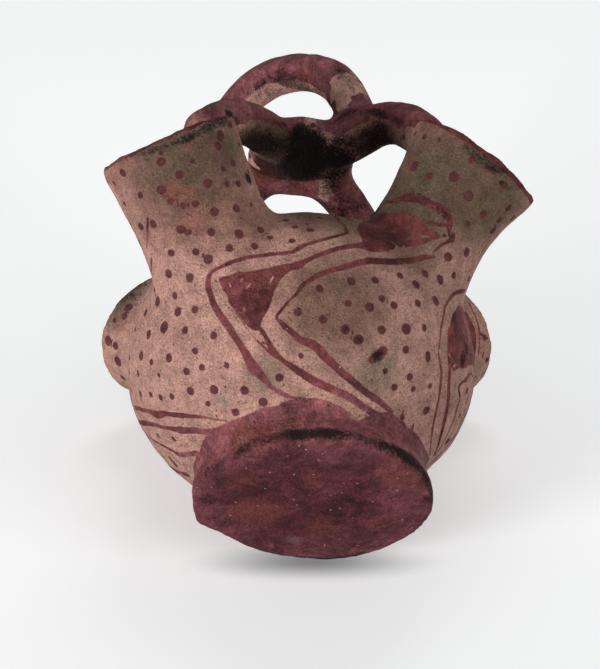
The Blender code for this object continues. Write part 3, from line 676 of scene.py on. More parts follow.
    # Sooty smears and painted shade lie over clay and slip alike, dark speckle lies on the downward faces
    # of the arms, hub and loop, and pale dust lies in a few specks.
    # This mask carries the sooty marks, the painted shade under the hub and the painted contact shadow on
    # the foot's rim.
    soot = grime("soot", 0.55)
    surface = blend_colour(tree, math_node(tree, "MULTIPLY", soot, 0.95), surface, look.soot)
    speckle = grime("speckle", 0.75)
    surface = blend_colour(tree, math_node(tree, "MULTIPLY", speckle, 0.85), surface, look.soot)
    dust_cells = tree.nodes.new("ShaderNodeTexVoronoi")
    dust_cells.inputs["Scale"].default_value = 330.0
    tree.links.new(place, dust_cells.inputs["Vector"])
    dust_near = ramp(tree, dust_cells.outputs["Distance"], 0.06, 0.14, 1.0, 0.0)
    dust_pick = tree.nodes.new("ShaderNodeSeparateColor")
    tree.links.new(dust_cells.outputs["Color"], dust_pick.inputs[0])
    dust = math_node(tree, "MULTIPLY", dust_near, ramp(tree, dust_pick.outputs[2], 0.92, 0.94))
    dust = math_node(tree, "MULTIPLY", dust, math_node(tree, "MULTIPLY_ADD", painted, 0.6, 0.15))
    surface = blend_colour(tree, dust, surface, (0.60, 0.50, 0.46))
    tree.links.new(surface, shader.inputs["Base Color"])

    # Slip is a little smoother than bare clay; the sooty and shaded places are dull.
    gloss = ramp(tree, painted, 0.0, 1.0, 0.93, 0.76)
    gloss = math_node(tree, "MULTIPLY_ADD", soot, 0.12, gloss, clamp=True)
    tree.links.new(gloss, shader.inputs["Roughness"])
    shader.inputs["Specular IOR Level"].default_value = 0.12
    shader.inputs["Metallic"].default_value = 0.0

    bump = tree.nodes.new("ShaderNodeBump")
    bump.inputs["Strength"].default_value = 1.0
    bump.inputs["Distance"].default_value = 0.0015
    rough_clay = math_node(tree, "MULTIPLY_ADD", painted, 0.10, grain.outputs["Height"])
    rough_clay = math_node(tree, "MULTIPLY_ADD", speckle, -0.35, rough_clay)
    tree.links.new(rough_clay, bump.inputs["Height"])
    tree.links.new(bump.outputs["Normal"], shader.inputs["Normal"])
    return material


def smooth_path(points, step):
    """Points along a smooth curve through the given rows, as an array, about a step apart."""
    rows = np.array(points, float)
    rows = np.vstack([2 * rows[0] - rows[1], rows, 2 * rows[-1] - rows[-2]])
    found = []
    for place in range(1, len(rows) - 2):
        before, start, end, after = rows[place - 1:place + 3]
        count = max(2, int(np.linalg.norm(end[:3] - start[:3]) / step))
        for share in np.linspace(0, 1, count, endpoint=False):
            found.append(
                0.5 * (2 * start + (end - before) * share
                       + (2 * before - 5 * start + 4 * end - after) * share ** 2
                       + (3 * start - before - 3 * end + after) * share ** 3)
            )
    found.append(rows[-2])
    return np.array(found)


def nearest(points, targets):
    """For each point, the index of its nearest target and the distance to it."""
    tree = KDTree(len(targets))
    for index, target in enumerate(targets):
        tree.insert(target, index)
    tree.balance()
    found = [tree.find(point) for point in points]
    return np.array([hit[1] for hit in found]), np.array([hit[2] for hit in found])


def shape_gap(points, corners):
    """Signed distance to a slip shape's edge in the shape's own plane, less than nothing inside it."""
    corners = np.array(corners, float)
    middle = corners.mean(0)
    normal = np.zeros(3)
    for first, second in zip(corners, np.roll(corners, -1, 0)):
        normal += np.cross(first - middle, second - middle)
    normal /= np.linalg.norm(normal)
    across = corners[1] - corners[0]
    across -= normal * (across @ normal)
    across /= np.linalg.norm(across)
    up = np.cross(normal, across)
    flat = np.stack([(corners - middle) @ across, (corners - middle) @ up], 1)
    place = np.stack([(points - middle) @ across, (points - middle) @ up], 1)
    gap = np.full(len(points), 1e9)
    inside = np.zeros(len(points), bool)
    for start, end in zip(flat, np.roll(flat, -1, 0)):
        run = end - start
        share = np.clip(((place - start) @ run) / (run @ run), 0, 1)
        gap = np.minimum(gap, np.linalg.norm(place - (start + share[:, None] * run), axis=1))
        crosses = (start[1] > place[:, 1]) != (end[1] > place[:, 1])
        rise = end[1] - start[1]
        rise = rise if abs(rise) > 1e-9 else 1e-9
        left = place[:, 0] < (end[0] - start[0]) * (place[:, 1] - start[1]) / rise + start[0]
        inside ^= crosses & left
    gap[inside] *= -1
    depth = np.abs((points - middle) @ normal)
    gap[depth > 14] = 50
    return gap


def outward(bearing):
    angle = math.radians(bearing)
    return Vector((math.sin(angle), -math.cos(angle), 0))


def mouth(spout):
    """A spout's lip centre and the way its mouth faces."""
    lean = math.radians(spout["lean"])
    way = outward(spout["bearing"])
    centre = AXIS + way * spout["reach"] + Vector((0, 0, spout["height"]))
    return centre, way * math.sin(lean) + Vector((0, 0, math.cos(lean)))


def vertex_arrays(mesh):
    places = np.empty(len(mesh.vertices) * 3)
    normals = np.empty(len(mesh.vertices) * 3)
    mesh.vertices.foreach_get("co", places)
    mesh.vertices.foreach_get("normal", normals)
    return places.reshape(-1, 3), normals.reshape(-1, 3)


def write_attribute(mesh, name, values, kind="FLOAT"):
    attribute = mesh.attributes.new(name, kind, "POINT")
    key = "vector" if kind == "FLOAT_VECTOR" else "value"
    attribute.data.foreach_set(key, np.asarray(values, np.float32).ravel())


def surface_tree(mesh):
    shape = bmesh.new()
    shape.from_mesh(mesh)
    tree = BVHTree.FromBMesh(shape)
    shape.free()
    return tree


def on_surface(tree, rows):
    """The rows in millimetres, moved onto the clay; anything past the third number is kept."""
    settled = []
    for row in rows:
        found = tree.find_nearest(Vector(row[:3]) * MM)[0]
        settled.append((*(found / MM), *row[3:]))
    return settled


def from_bearing(tree, bearing, height):
    """A point of the outside, in millimetres, met from afar at a bearing and a height in millimetres."""
    way = outward(bearing)
    start = AXIS + way * 0.2 + Vector((0, 0, height * MM))
    found = tree.ray_cast(start, -way)[0]
    return found / MM


def patches(places, spots):
    """Strength of the strongest spot at each place; a spot fades out towards its reach."""
    strength = np.zeros(len(places))
    for x, y, z, reach, power in spots:
        away = np.linalg.norm(places - np.array((x, y, z)), axis=1) / reach
        fade = np.clip(1.25 - away, 0, 1)
        strength = np.maximum(strength, power * fade * fade * (3 - 2 * fade))
    return strength


def mouth_offsets(places, spout):
    """How far places, in millimetres, lie along a mouth's axis and out from it."""
    centre, way = mouth(spout)
    offset = places - np.array(centre) / MM
    along = offset @ np.array(way)
    return along, np.linalg.norm(offset - along[:, None] * np.array(way), axis=1)


def hollow_points(mesh, places, below_lip=0.0):
    """Which points lie on the hollow's wall: all that its floor reaches without crossing a lip."""
    ends = np.empty(len(mesh.edges) * 2, int)
    mesh.edges.foreach_get("vertices", ends)
    first, second = ends.reshape(-1, 2).T
    free = np.ones(len(places), bool)
    shallow = np.zeros(len(places), bool)
    for spout in SPOUTS.values():
        along, out = mouth_offsets(places, spout)
        near = (along < MOUTH_BAND[1]) & (out < spout["lip"] / MM + MOUTH_CLEARANCE)
        free &= ~((along > MOUTH_BAND[0]) & near)
        shallow |= (along > -below_lip) & near
    found = np.zeros(len(places), bool)
    found[np.linalg.norm(places - np.array(HOLLOW_FLOOR), axis=1).argmin()] = True
    while True:
        touched = found[first] | found[second]
        grown = found.copy()
        grown[first[touched]] = True
        grown[second[touched]] = True
        grown &= free
        if grown.sum() == found.sum():
            return found & ~shallow
        found = grown


def made_vase():
    """The vase that the clay body's operator has made."""
    vase = bpy.data.objects.get(VASE)
    if vase is None:
        raise RuntimeError("the clay body is made first")
    return vase


def only(obj):
    bpy.ops.object.select_all(action="DESELECT")
    obj.select_set(True)
    bpy.context.view_layer.objects.active = obj


def apply_modifier(obj, kind, **values):
    only(obj)
    bpy.ops.object.modifier_add(type=kind)
    made = obj.modifiers[-1]
    for key, value in values.items():
        setattr(made, key, value)
    bpy.ops.object.modifier_apply(modifier=made.name)


class ClayShape(bpy.types.PropertyGroup):
    grain: FloatProperty(
        name="Clay grain", description="Spacing of the points that carry the clay's surface",
        default=0.00115, min=0.0009, max=0.004, unit="LENGTH", subtype="DISTANCE",
    )
    hollow_share: FloatProperty(
        name="Hollow detail", description="Share of the faces that stays in the dark hollow",
        default=0.14, min=0.02, max=1.0,
    )
    lumps: FloatProperty(
        name="Lumps", description="How far the hand-smoothed wall swells and dips",
        default=0.0005, min=0.0, max=0.002, unit="LENGTH", subtype="DISTANCE",
    )
    lip_waves: FloatProperty(
        name="Lip waves", description="How far the lips and the foot's edge wander",
        default=0.0007, min=0.0, max=0.002, unit="LENGTH", subtype="DISTANCE",
    )
    smoothing: IntProperty(
        name="Smoothing", description="Passes of wiping with a wet hand", default=14, min=0, max=60,
    )


class ClayLook(bpy.types.PropertyGroup):
    pink_clay: FloatVectorProperty(
        name="Pink clay", description="Bare clay that took the fire", subtype="COLOR",
        default=(0.56, 0.305, 0.248), min=0.0, max=1.0,
    )
    smoked_and_shaded_clay: FloatVectorProperty(
        name="Smoked clay", description="Bare clay greyed by smoke", subtype="COLOR",
        default=(0.27, 0.185, 0.135), min=0.0, max=1.0,
    )
    umber: FloatVectorProperty(
        name="Umber", description="Tint of the clay where it is browned by handling", subtype="COLOR",
        default=(0.52, 0.485, 0.455), min=0.0, max=1.0,
    )
    blush: FloatVectorProperty(
        name="Blush", description="Red stains on the bare clay", subtype="COLOR",
        default=(0.30, 0.095, 0.075), min=0.0, max=1.0,
    )
    moss: FloatVectorProperty(
        name="Moss", description="Grey-green stains", subtype="COLOR",
        default=(0.115, 0.105, 0.070), min=0.0, max=1.0,
    )
    chalk: FloatVectorProperty(
        name="Chalk", description="Pale scuffs", subtype="COLOR",
        default=(0.46, 0.36, 0.30), min=0.0, max=1.0,
    )
    freckle: FloatVectorProperty(
        name="Freckles", description="Dark freckles of the bare clay", subtype="COLOR",
        default=(0.15, 0.085, 0.065), min=0.0, max=1.0,
    )
    red_slip: FloatVectorProperty(
        name="Red slip", description="Brushed red slip", subtype="COLOR",
        default=(0.195, 0.054, 0.054), min=0.0, max=1.0,
    )
    plum_slip: FloatVectorProperty(
        name="Plum slip", description="Thick slip of the loop, arms and foot", subtype="COLOR",
        default=(0.262, 0.088, 0.096), min=0.0, max=1.0,
    )
    rusty_slip: FloatVectorProperty(
        name="Rusty slip", description="Slip brushed out thin", subtype="COLOR",
        default=(0.22, 0.058, 0.042), min=0.0, max=1.0,
    )
    dot_slip: FloatVectorProperty(
        name="Dots", description="Slip of the dots", subtype="COLOR",
        default=(0.110, 0.030, 0.034), min=0.0, max=1.0,
    )
    tarnish: FloatVectorProperty(
        name="Tarnish", description="Tint of the slip on the foot's disc", subtype="COLOR",
        default=(0.46, 0.32, 0.385), min=0.0, max=1.0,
    )
    # Near-black of the sooty marks and of the painted shade.
    soot: FloatVectorProperty(
        name="Soot", description="Soot and old grime", subtype="COLOR",
        default=(0.009, 0.008, 0.007), min=0.0, max=1.0,
    )


class DotPattern(bpy.types.PropertyGroup):
    spacing: FloatProperty(
        name="Dot spacing", description="Distance between dots on the unseen sides",
        default=0.0072, min=0.004, max=0.02, unit="LENGTH", subtype="DISTANCE",
    )
    seed: IntProperty(name="Seed", description="Which scatter of dots the unseen sides get", default=7)


class StageLook(bpy.types.PropertyGroup):
    sheet: FloatVectorProperty(
        name="Sheet", description="Pale sheet under and behind the vase", subtype="COLOR",
        default=(0.80, 0.81, 0.81), min=0.0, max=1.0,
    )
    sheet_glow: FloatProperty(
        name="Sheet glow", description="How much of its paleness the sheet keeps in shade",
        default=0.30, min=0.0,
    )
    side_light: FloatProperty(
        name="Side light", description="Power of the light from the lower left",
        default=13.5, min=0.0, unit="POWER",
    )
    low_light: FloatProperty(
        name="Low light", description="Power of the light from the lower right",
        default=9.5, min=0.0, unit="POWER",
    )
    top_light: FloatProperty(
        name="Top light", description="Power of the light from above the lying vase",
        default=2.5, min=0.0, unit="POWER",
    )
    back_light: FloatProperty(
        name="Back light", description="Power of the light on the far side",
        default=7.0, min=0.0, unit="POWER",
    )


class POTTERY_OT_clay_body(bpy.types.Operator):
    """Builds the clay from the frame: one fused, hand-smoothed, slightly lumpy piece"""
    bl_idname = "pottery.clay_body"
    bl_label = "Clay body"

    def execute(self, context):
        shape = context.scene.pottery_shape
        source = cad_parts[NODE]
        only(source)
        bpy.ops.object.duplicate()
        vase = context.view_layer.objects.active
        vase.parent = None
        vase.name = VASE
        vase.data.name = VASE
        for key in list(vase.keys()):
            del vase[key]
        vase.matrix_world.identity()
        bpy.ops.object.mode_set(mode="EDIT")
        bpy.ops.mesh.select_all(action="SELECT")
        bpy.ops.mesh.remove_doubles(threshold=MERGE_DISTANCE)
        bpy.ops.object.mode_set(mode="OBJECT")
        apply_modifier(vase, "REMESH", mode="VOXEL", voxel_size=shape.grain)
        apply_modifier(vase, "SMOOTH", factor=0.5, iterations=shape.smoothing)
        self.lumps(vase.data, shape)
        self.lighten_hollow(vase, shape)
        only(vase)
        bpy.ops.object.shade_smooth()
        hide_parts(NODE)
        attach(vase, "root")
        return {"FINISHED"}

    def lighten_hollow(self, vase, shape):
        """Keeps fewer faces deep in the hollow, where no light falls."""
        places, _ = vertex_arrays(vase.data)
        deep = hollow_points(vase.data, places / MM, DARK_DEPTH)
        only(vase)
        bpy.ops.object.mode_set(mode="EDIT")
        bpy.ops.mesh.select_mode(type="VERT")
        bpy.ops.mesh.select_all(action="DESELECT")
        bpy.ops.object.mode_set(mode="OBJECT")
        vase.data.vertices.foreach_set("select", deep)
        bpy.ops.object.mode_set(mode="EDIT")
        bpy.ops.mesh.select_mode(type="FACE")
        bpy.ops.mesh.decimate(ratio=shape.hollow_share)
        bpy.ops.object.mode_set(mode="OBJECT")

    def lumps(self, mesh, shape):
        """Swells and dips the wall, lets the lips and the foot's edge wander, and nicks them."""
        places, normals = vertex_arrays(mesh)
        moved = places.copy()
        edge = np.zeros(len(places))
        for spout in SPOUTS.values():
            along, out = mouth_offsets(places / MM, spout)
            near = np.clip(1 - np.abs(along) / 6.0, 0, 1) * (out < spout["lip"] / MM + 4.0)
            edge = np.maximum(edge, near)
        low = np.clip(1 - places[:, 2] / 0.004, 0, 1)
        rim = np.hypot(places[:, 0], places[:, 1]) > 0.031
        for index, place in enumerate(places):
            spot = Vector(place)
            broad = noise.noise(spot * 55.0)
            middle = noise.noise(spot * 160.0 + Vector((3.1, 0.7, 5.2)))
            small = noise.noise(spot * 420.0 + Vector((8.3, 2.9, 1.4)))
            push = shape.lumps * (0.75 * broad + 0.55 * middle + 0.22 * small)
            if edge[index] > 0:
                wave = noise.noise(spot * 95.0 + Vector((1.7, 9.1, 4.6)))
                nick = max(0.0, noise.noise(spot * 130.0 + Vector((6.0, 3.3, 2.2))) - 0.42)
                push += edge[index] * (shape.lip_waves * wave - 0.0022 * nick)
            if place[2] < 0.0006:
                push *= 0.15 if place[2] < 0.0003 else 0.5
            elif low[index] > 0 and rim[index]:
                wave = noise.noise(spot * 70.0 + Vector((4.4, 1.2, 7.9)))
                push += low[index] * shape.lip_waves * wave
            moved[index] = place + normals[index] * push
        outline = np.array(FOOT_OUTLINE, float)
        bearing = np.degrees(np.arctan2(places[:, 1], places[:, 0]))
        share = np.interp(bearing, outline[:, 0], outline[:, 1]) / FOOT_RADIUS
        fade = np.clip((0.011 - places[:, 2]) / 0.007, 0, 1)
        reach = np.clip((np.hypot(places[:, 0], places[:, 1]) - 0.014) / 0.022, 0, 1)
        moved[:, :2] *= (1 + (share - 1) * fade * reach)[:, None]
        moved[:, 2] = np.maximum(moved[:, 2], 0.0)
        mesh.vertices.foreach_set("co", moved.ravel())
        mesh.update()


class POTTERY_OT_slip_ornament(bpy.types.Operator):
    """Draws the slip on the clay: foot, lips, arms, loop, lines, leaves and dots, then sooty marks, smoky
    clouds and painted shade
    """
    bl_idname = "pottery.slip_ornament"
    bl_label = "Slip ornament"

    def execute(self, context):
        mesh = made_vase().data
        places, normals = vertex_arrays(mesh)
        places = places / MM
        tree = surface_tree(mesh)
        inside = hollow_points(mesh, places)
        gap = self.drawn(mesh, places, tree, inside)
        gap = np.minimum(gap, self.foot(places, normals, inside))
        lip_gap, mouth_depth = self.lips(places, normals)
        gap = np.minimum(gap, lip_gap)
        arms, arm_gap = self.arms(places, normals)
        gap = np.where(arms > 0.5, arm_gap, np.minimum(gap, arm_gap))
        write_attribute(mesh, "slip_gap", gap)
        self.dots(context, mesh, places, tree, gap, inside, arms, mouth_depth)
        self.surface(mesh, places, normals, arms, inside)
        return {"FINISHED"}

    def marks(self, mesh, name, places, rows, hidden):
        """Writes each place's nearest mark: its middle, its half width and the distance to its edge."""
        rows = np.array(rows)
        index, away = nearest(places, rows[:, :3])
        gap = np.where(hidden, 40.0, away - rows[index, 3])
        write_attribute(mesh, name + "_point", rows[index, :3] * MM, "FLOAT_VECTOR")
        write_attribute(mesh, name + "_half", rows[index, 3])
        write_attribute(mesh, name + "_gap", gap)
        return gap

    def drawn(self, mesh, places, tree, inside):
        """Writes the brush lines and the slits, and gives the distance to the nearest slip shape."""
        rows = []
        for line in FRONT_LINES:
            rows += on_surface(tree, smooth_path(line, 0.3))
        for line in BACK_LINES:
            settled = [(*from_bearing(tree, bearing, height), half) for bearing, height, half in line]
            rows += on_surface(tree, smooth_path(settled, 0.4))
        self.line_gap = self.marks(mesh, "line", places, rows, inside)
        slits = []
        for line in FRONT_SLITS:
            slits += on_surface(tree, smooth_path(line, 0.3))
        self.marks(mesh, "slit", places, slits, inside)
        gap = np.full(len(places), 30.0)
        shapes = list(FRONT_SHAPES)
        for corners in BACK_SHAPES:
            shapes.append([tuple(from_bearing(tree, bearing, height)) for bearing, height in corners])
        for corners in shapes:
            gap = np.minimum(gap, shape_gap(places, corners))
        return np.where(inside, 30.0, gap)

    def foot(self, places, normals, inside):
        bearing = np.degrees(np.arctan2(places[:, 0] + 4, -places[:, 1]))
        known = np.array(FOOT_EDGE, float)
        top = np.interp(bearing, known[:, 0], known[:, 1])
        steep = np.maximum(np.sqrt(np.maximum(1 - normals[:, 2] ** 2, 0)), 0.4)
        gap = (places[:, 2] - top) / steep
        return np.where(inside, 30.0, gap)

    def lips(self, places, normals):
        """Distance to the red band of each lip, and how far down the nearest mouth a place lies."""
        gap = np.full(len(places), 40.0)
        depth = np.full(len(places), 90.0)
        for spout in SPOUTS.values():
            along, out = mouth_offsets(places, spout)
            facing = normals @ np.array(mouth(spout)[1])
            close = (out < spout["lip"] / MM + 8) & (along > -40) & (along < 8)
            inner = (facing > 0.35) & (out < spout["lip"] / MM - 1.2)
            band = np.where(inner, 3.5, spout["band"])
            gap = np.where(close, np.minimum(gap, -along - band), gap)
            depth = np.where(close, np.minimum(depth, np.abs(along)), depth)
        return gap, depth

    def arms(self, places, normals):
        """Which places belong to the arms, the hub and the loop, and their distance to the slip's edge."""
        middles = np.vstack([smooth_path(points, 2.0) for points in ARMS.values()])
        _, away = nearest(places, middles)
        loop = smooth_path(LOOP, 2.0)
        loop_index, loop_away = nearest(places, loop)
        on_arm = (away < ARM_REACH) & (places[:, 2] > ARM_BASE)
        for spout in SPOUTS.values():
            along, out = mouth_offsets(places, spout)
            on_arm &= ~((along < 1.0) & (out < spout["lip"] / MM + MOUTH_CLEARANCE))
        hub_away = np.linalg.norm(places - HUB_MIDDLE, axis=1)
        on_arm |= (hub_away < HUB_REACH) & (places[:, 1] > 2) & (places[:, 2] > HUB_BASE)
        high = (places[:, 2] > LOOP_BASE) | ((places[:, 2] > LOOP_ROOT) & ~on_arm)
        on_loop = (loop_away < LOOP_REACH) & high
        left = places[:, 0] < 2
        rear = places[:, 1] > np.where(left, -7, 2)
        arm_gap = (np.where(rear, np.where(left, -1.2, -0.9), -0.3) - normals[:, 2]) * 8.5
        inward = LOOP_HEART - loop[loop_index]
        inward /= np.linalg.norm(inward, axis=1)[:, None] + 1e-9
        facing = (normals * inward).sum(1)
        loop_gap = (facing - 0.82) * 8.0
        ragged = np.array([noise.noise(Vector(place) * 0.28) for place in places]) * 5.0
        worn = np.linalg.norm((places - BARE_PATCH) * (1, 1, 0.62), axis=1) - BARE_PATCH_REACH + ragged
        loop_gap = np.maximum(loop_gap, -worn)
        gap = np.full(len(places), 40.0)
        gap = np.where(on_arm, arm_gap, gap)
        gap = np.where(on_loop, loop_gap, gap)
        return (on_arm | on_loop).astype(float), gap

    def dots(self, context, mesh, places, tree, gap, inside, arms, mouth_depth):
        """Draws the measured dots, and a scatter of them on the unseen sides."""
        chosen = [tuple(row) for row in on_surface(tree, FRONT_DOTS)]
        gap = np.minimum(gap, self.line_gap)
        chosen += self.scattered(context, places, gap, inside, arms, mouth_depth, chosen)
        self.marks(mesh, "dot", places, chosen, inside)

    def scattered(self, context, places, gap, inside, arms, mouth_depth, chosen):
        """Dots of the unseen sides, spread evenly over bare clay away from the drawn ornament."""
        pattern = context.scene.pottery_dots
        draw = np.random.default_rng(pattern.seed)
        known = np.array(chosen)[:, :3]
        _, seen = nearest(places, known)
        bare = (gap > DOT_CLEARANCE) & ~inside & (arms < 0.5) & (mouth_depth > 4)
        bare &= (seen > SEEN_SIDE_REACH) & (places[:, 2] > LOWEST_DOT)
        order = draw.permutation(np.nonzero(bare)[0])
        kept = []
        spacing = pattern.spacing / MM
        for spot in order:
            place = places[spot]
            if kept and (np.linalg.norm(np.array(kept)[:, :3] - place, axis=1) < spacing).any():
                continue
            kept.append((*place, DOT_RADIUS + DOT_RADIUS_SPREAD * draw.random()))
        return kept

    def surface(self, mesh, places, normals, arms, inside):
        """Sooty marks, clouds of colour, painted shade, speckle, wear and the plum colour of the thick
        slip.
        """
        soot = patches(places, SOOT_AND_SHADE)
        for line in SOOT_AND_SHADE_LINES:
            soot = np.maximum(soot, patches(places, smooth_path(line, 1.5)))
        clouds = {name: patches(places, spots) for name, spots in CLOUDS.items()}
        # Painted shade on the foot's disc: the mask is kept on the disc and above 20 mm.
        clouds["tarnish"] *= np.clip(1.5 - places[:, 2] / 2.5, 0, 1) + (places[:, 2] > 20)
        # The clay greys towards the right side: partly the clay's own tone, partly painted shade on the
        # side away from the side light.
        clouds["smoke"] = np.maximum(clouds["smoke"], np.clip((places[:, 0] + 10) / 160, 0, 0.35))
        # Painted shade: the inside of the hollow is greyed dark.
        clouds["smoke"] = np.where(inside, np.maximum(clouds["smoke"], 0.8), clouds["smoke"])
        for name, strength in clouds.items():
            write_attribute(mesh, name, strength)
        under = np.clip((-0.15 - normals[:, 2]) * 1.6, 0, 1)
        disc = np.clip((3.0 - places[:, 2]) / 2.0, 0, 1)
        plum = np.maximum(np.maximum(arms, disc), np.clip((26 - places[:, 2]) / 12, 0, 1.0))
        wear = np.where(places[:, 2] < 3, 0.22, 0.22 + 0.40 * arms)
        write_attribute(mesh, "soot", soot)
        write_attribute(mesh, "speckle", arms * under * np.where(places[:, 1] > 2, 0.3, 0.72))
        write_attribute(mesh, "plum", plum)
        write_attribute(mesh, "wear", wear)


class POTTERY_OT_fired_finish(bpy.types.Operator):
    """Gives the vase its fired clay and slip material"""
    bl_idname = "pottery.fired_finish"
    bl_label = "Fired finish"

    def execute(self, context):
        vase = made_vase()
        vase.data.materials.clear()
        vase.data.materials.append(fired_clay_material(context.scene.pottery_look))
        return {"FINISHED"}


class POTTERY_OT_pale_stage(bpy.types.Operator):
    """Lays the vase on its pale sheet, over a floor, and adds the lights and the camera"""
    bl_idname = "pottery.pale_stage"
    bl_label = "Pale stage"

    def execute(self, context):
        stage = context.scene.pottery_stage
        context.scene.view_settings.view_transform = "Standard"
        self.sheets(stage)
        self.lights(context, stage)
        self.camera(context)
        return {"FINISHED"}

    def sheets(self, stage):
        lie = math.atan2(0.0378, 0.09)
        bpy.ops.object.select_all(action="DESELECT")
        bpy.ops.mesh.primitive_plane_add(size=1.0)
        sheet = bpy.context.object
        sheet.name = "tilted_sheet"
        along = Vector((0, math.sin(lie), math.cos(lie)))
        off = Vector((0, -math.cos(lie), math.sin(lie)))
        foot = Vector((0, 0.0392, 0.0005))
        for vertex in sheet.data.vertices:
            x, y = vertex.co.x * 1.6, vertex.co.y
            vertex.co = foot + Vector((x, 0, 0)) + along * (y * 1.5 + 0.25) - off * 0.0003
        sheet.data.update()
        bpy.ops.mesh.primitive_plane_add(size=3.0, location=(0, 0, -0.0004))
        floor = bpy.context.object
        floor.name = "pale_floor"
        for piece in (sheet, floor):
            piece.data.materials.append(self.sheet_material(piece.name, stage))
            for ray in ("shadow", "diffuse", "glossy"):
                setattr(piece, "visible_" + ray, False)

    def sheet_material(self, name, stage):
        """Pale paper seen from its upper side only, glowing more towards the top, with a painted shadow
        near x = 0 and z = 0, where the vase's foot meets the sheet.
        """
        material = bpy.data.materials.new(name + "_paper")
        material.use_nodes = True
        tree = material.node_tree
        tree.nodes.clear()
        output = tree.nodes.new("ShaderNodeOutputMaterial")
        paper = tree.nodes.new("ShaderNodeBsdfPrincipled")
        paper.inputs["Emission Color"].default_value = (*stage.sheet, 1.0)
        paper.inputs["Roughness"].default_value = 1.0
        paper.inputs["Specular IOR Level"].default_value = 0.0
        place = tree.nodes.new("ShaderNodeSeparateXYZ")
        tree.links.new(tree.nodes.new("ShaderNodeTexCoord").outputs["Object"], place.inputs[0])
        # Painted light: the sheet glows, more strongly towards the top.
        glow = ramp(tree, place.outputs["Z"], -0.10, 0.16, stage.sheet_glow, stage.sheet_glow + 0.19)
        # Painted contact shadow: the paper darkens near x = 0 and z = 0, below the vase's foot.
        aside = math_node(tree, "POWER", math_node(tree, "MULTIPLY", place.outputs["X"], 0.22), 2.0)
        below = math_node(tree, "POWER", math_node(tree, "ADD", place.outputs["Z"], 0.001), 2.0)
        near = math_node(tree, "SQRT", math_node(tree, "ADD", aside, below))
        shade = ramp(tree, near, 0.0, 0.011, 0.30, 1.0)
        tree.links.new(math_node(tree, "MULTIPLY", glow, shade), paper.inputs["Emission Strength"])
        tree.links.new(blend_colour(tree, 1.0, stage.sheet, shade, "MULTIPLY"), paper.inputs["Base Color"])
        clear = tree.nodes.new("ShaderNodeBsdfTransparent")
        mix = tree.nodes.new("ShaderNodeMixShader")
        side = tree.nodes.new("ShaderNodeNewGeometry")
        tree.links.new(side.outputs["Backfacing"], mix.inputs[0])
        tree.links.new(paper.outputs[0], mix.inputs[1])
        tree.links.new(clear.outputs[0], mix.inputs[2])
        tree.links.new(mix.outputs[0], output.inputs["Surface"])
        return material

    def lights(self, context, stage):
        for name, way, distance, size in SOFT_LIGHTS:
            bpy.ops.object.light_add(type="AREA")
            lamp = context.object
            lamp.name = name
            lamp.data.energy = getattr(stage, name)
            lamp.data.shape = "DISK"
            lamp.data.size = size
            lamp.location = LIGHT_AIM + Vector(way).normalized() * distance
            lamp.rotation_euler = (LIGHT_AIM - lamp.location).to_track_quat("-Z", "Y").to_euler()
        world = bpy.data.worlds.new("pale_room")
        world.use_nodes = True
        context.scene.world = world
        tree = world.node_tree
        tree.nodes.clear()
        output = tree.nodes.new("ShaderNodeOutputWorld")
        mix = tree.nodes.new("ShaderNodeMixShader")
        path = tree.nodes.new("ShaderNodeLightPath")
        tree.links.new(path.outputs["Is Camera Ray"], mix.inputs[0])
        for slot, colour, strength in ((1, (0.97, 0.98, 1.0), 0.26), (2, (0.86, 0.87, 0.87), 1.0)):
            air = tree.nodes.new("ShaderNodeBackground")
            air.inputs["Color"].default_value = (*colour, 1.0)
            air.inputs["Strength"].default_value = strength
            tree.links.new(air.outputs[0], mix.inputs[slot])
        tree.links.new(mix.outputs[0], output.inputs["Surface"])

    def camera(self, context):
        """The photograph's view: from in front and 34 degrees below the vase's own horizon."""
        drop = math.radians(CAMERA_DROP)
        ahead = Vector((0, math.cos(drop), math.sin(drop)))
        right = Vector((1, 0, 0))
        up = right.cross(ahead)
        aim = right * (CAMERA_AIM[0] * PIXEL) + up * (CAMERA_AIM[1] * PIXEL)
        bpy.ops.object.camera_add()
        camera = context.object
        camera.name = "photo_camera"
        camera.location = aim - ahead * CAMERA_DISTANCE
        camera.rotation_euler = ahead.to_track_quat("-Z", "Y").to_euler()
        camera.data.sensor_fit = "VERTICAL"
        camera.data.sensor_height = SENSOR
        camera.data.lens = SENSOR * FOCAL_PIXELS / PICTURE_HEIGHT
        camera.data.clip_start = 0.01
        context.scene.camera = camera


class POTTERY_PT_vase(bpy.types.Panel):
    bl_label = "Loop-handle vase"
    bl_idname = "POTTERY_PT_vase"
    bl_space_type = "VIEW_3D"
    bl_region_type = "UI"
    bl_category = "Pottery"

    def draw(self, context):
        layout = self.layout
        scene = context.scene
        for group, operator in (
            (scene.pottery_shape, POTTERY_OT_clay_body),
            (scene.pottery_dots, POTTERY_OT_slip_ornament),
            (scene.pottery_look, POTTERY_OT_fired_finish),
            (scene.pottery_stage, POTTERY_OT_pale_stage),
        ):
            box = layout.box()
            for name in type(group).__annotations__:
                box.prop(group, name)
            box.operator(operator.bl_idname)


CLASSES = (
    ClayShape, ClayLook, DotPattern, StageLook, POTTERY_OT_clay_body, POTTERY_OT_slip_ornament,
    POTTERY_OT_fired_finish, POTTERY_OT_pale_stage, POTTERY_PT_vase,
)


def register():
    for kind in CLASSES:
        bpy.utils.register_class(kind)
    bpy.types.Scene.pottery_shape = PointerProperty(type=ClayShape)
    bpy.types.Scene.pottery_look = PointerProperty(type=ClayLook)
    bpy.types.Scene.pottery_dots = PointerProperty(type=DotPattern)
    bpy.types.Scene.pottery_stage = PointerProperty(type=StageLook)


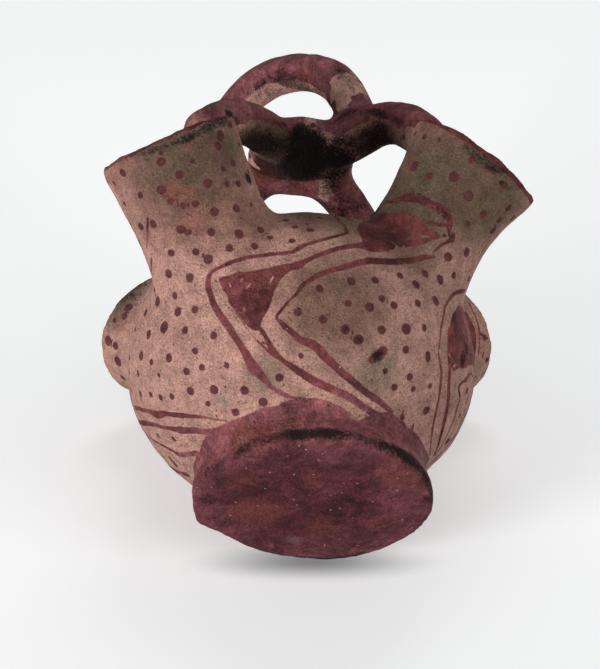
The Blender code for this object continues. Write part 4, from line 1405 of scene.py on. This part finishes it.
def unregister():
    for name in ("pottery_stage", "pottery_dots", "pottery_look", "pottery_shape"):
        delattr(bpy.types.Scene, name)
    for kind in reversed(CLASSES):
        bpy.utils.unregister_class(kind)


def main():
    register()
    bpy.ops.pottery.clay_body()
    bpy.ops.pottery.slip_ornament()
    bpy.ops.pottery.fired_finish()
    bpy.ops.pottery.pale_stage()


if __name__ == "__main__":
    main()
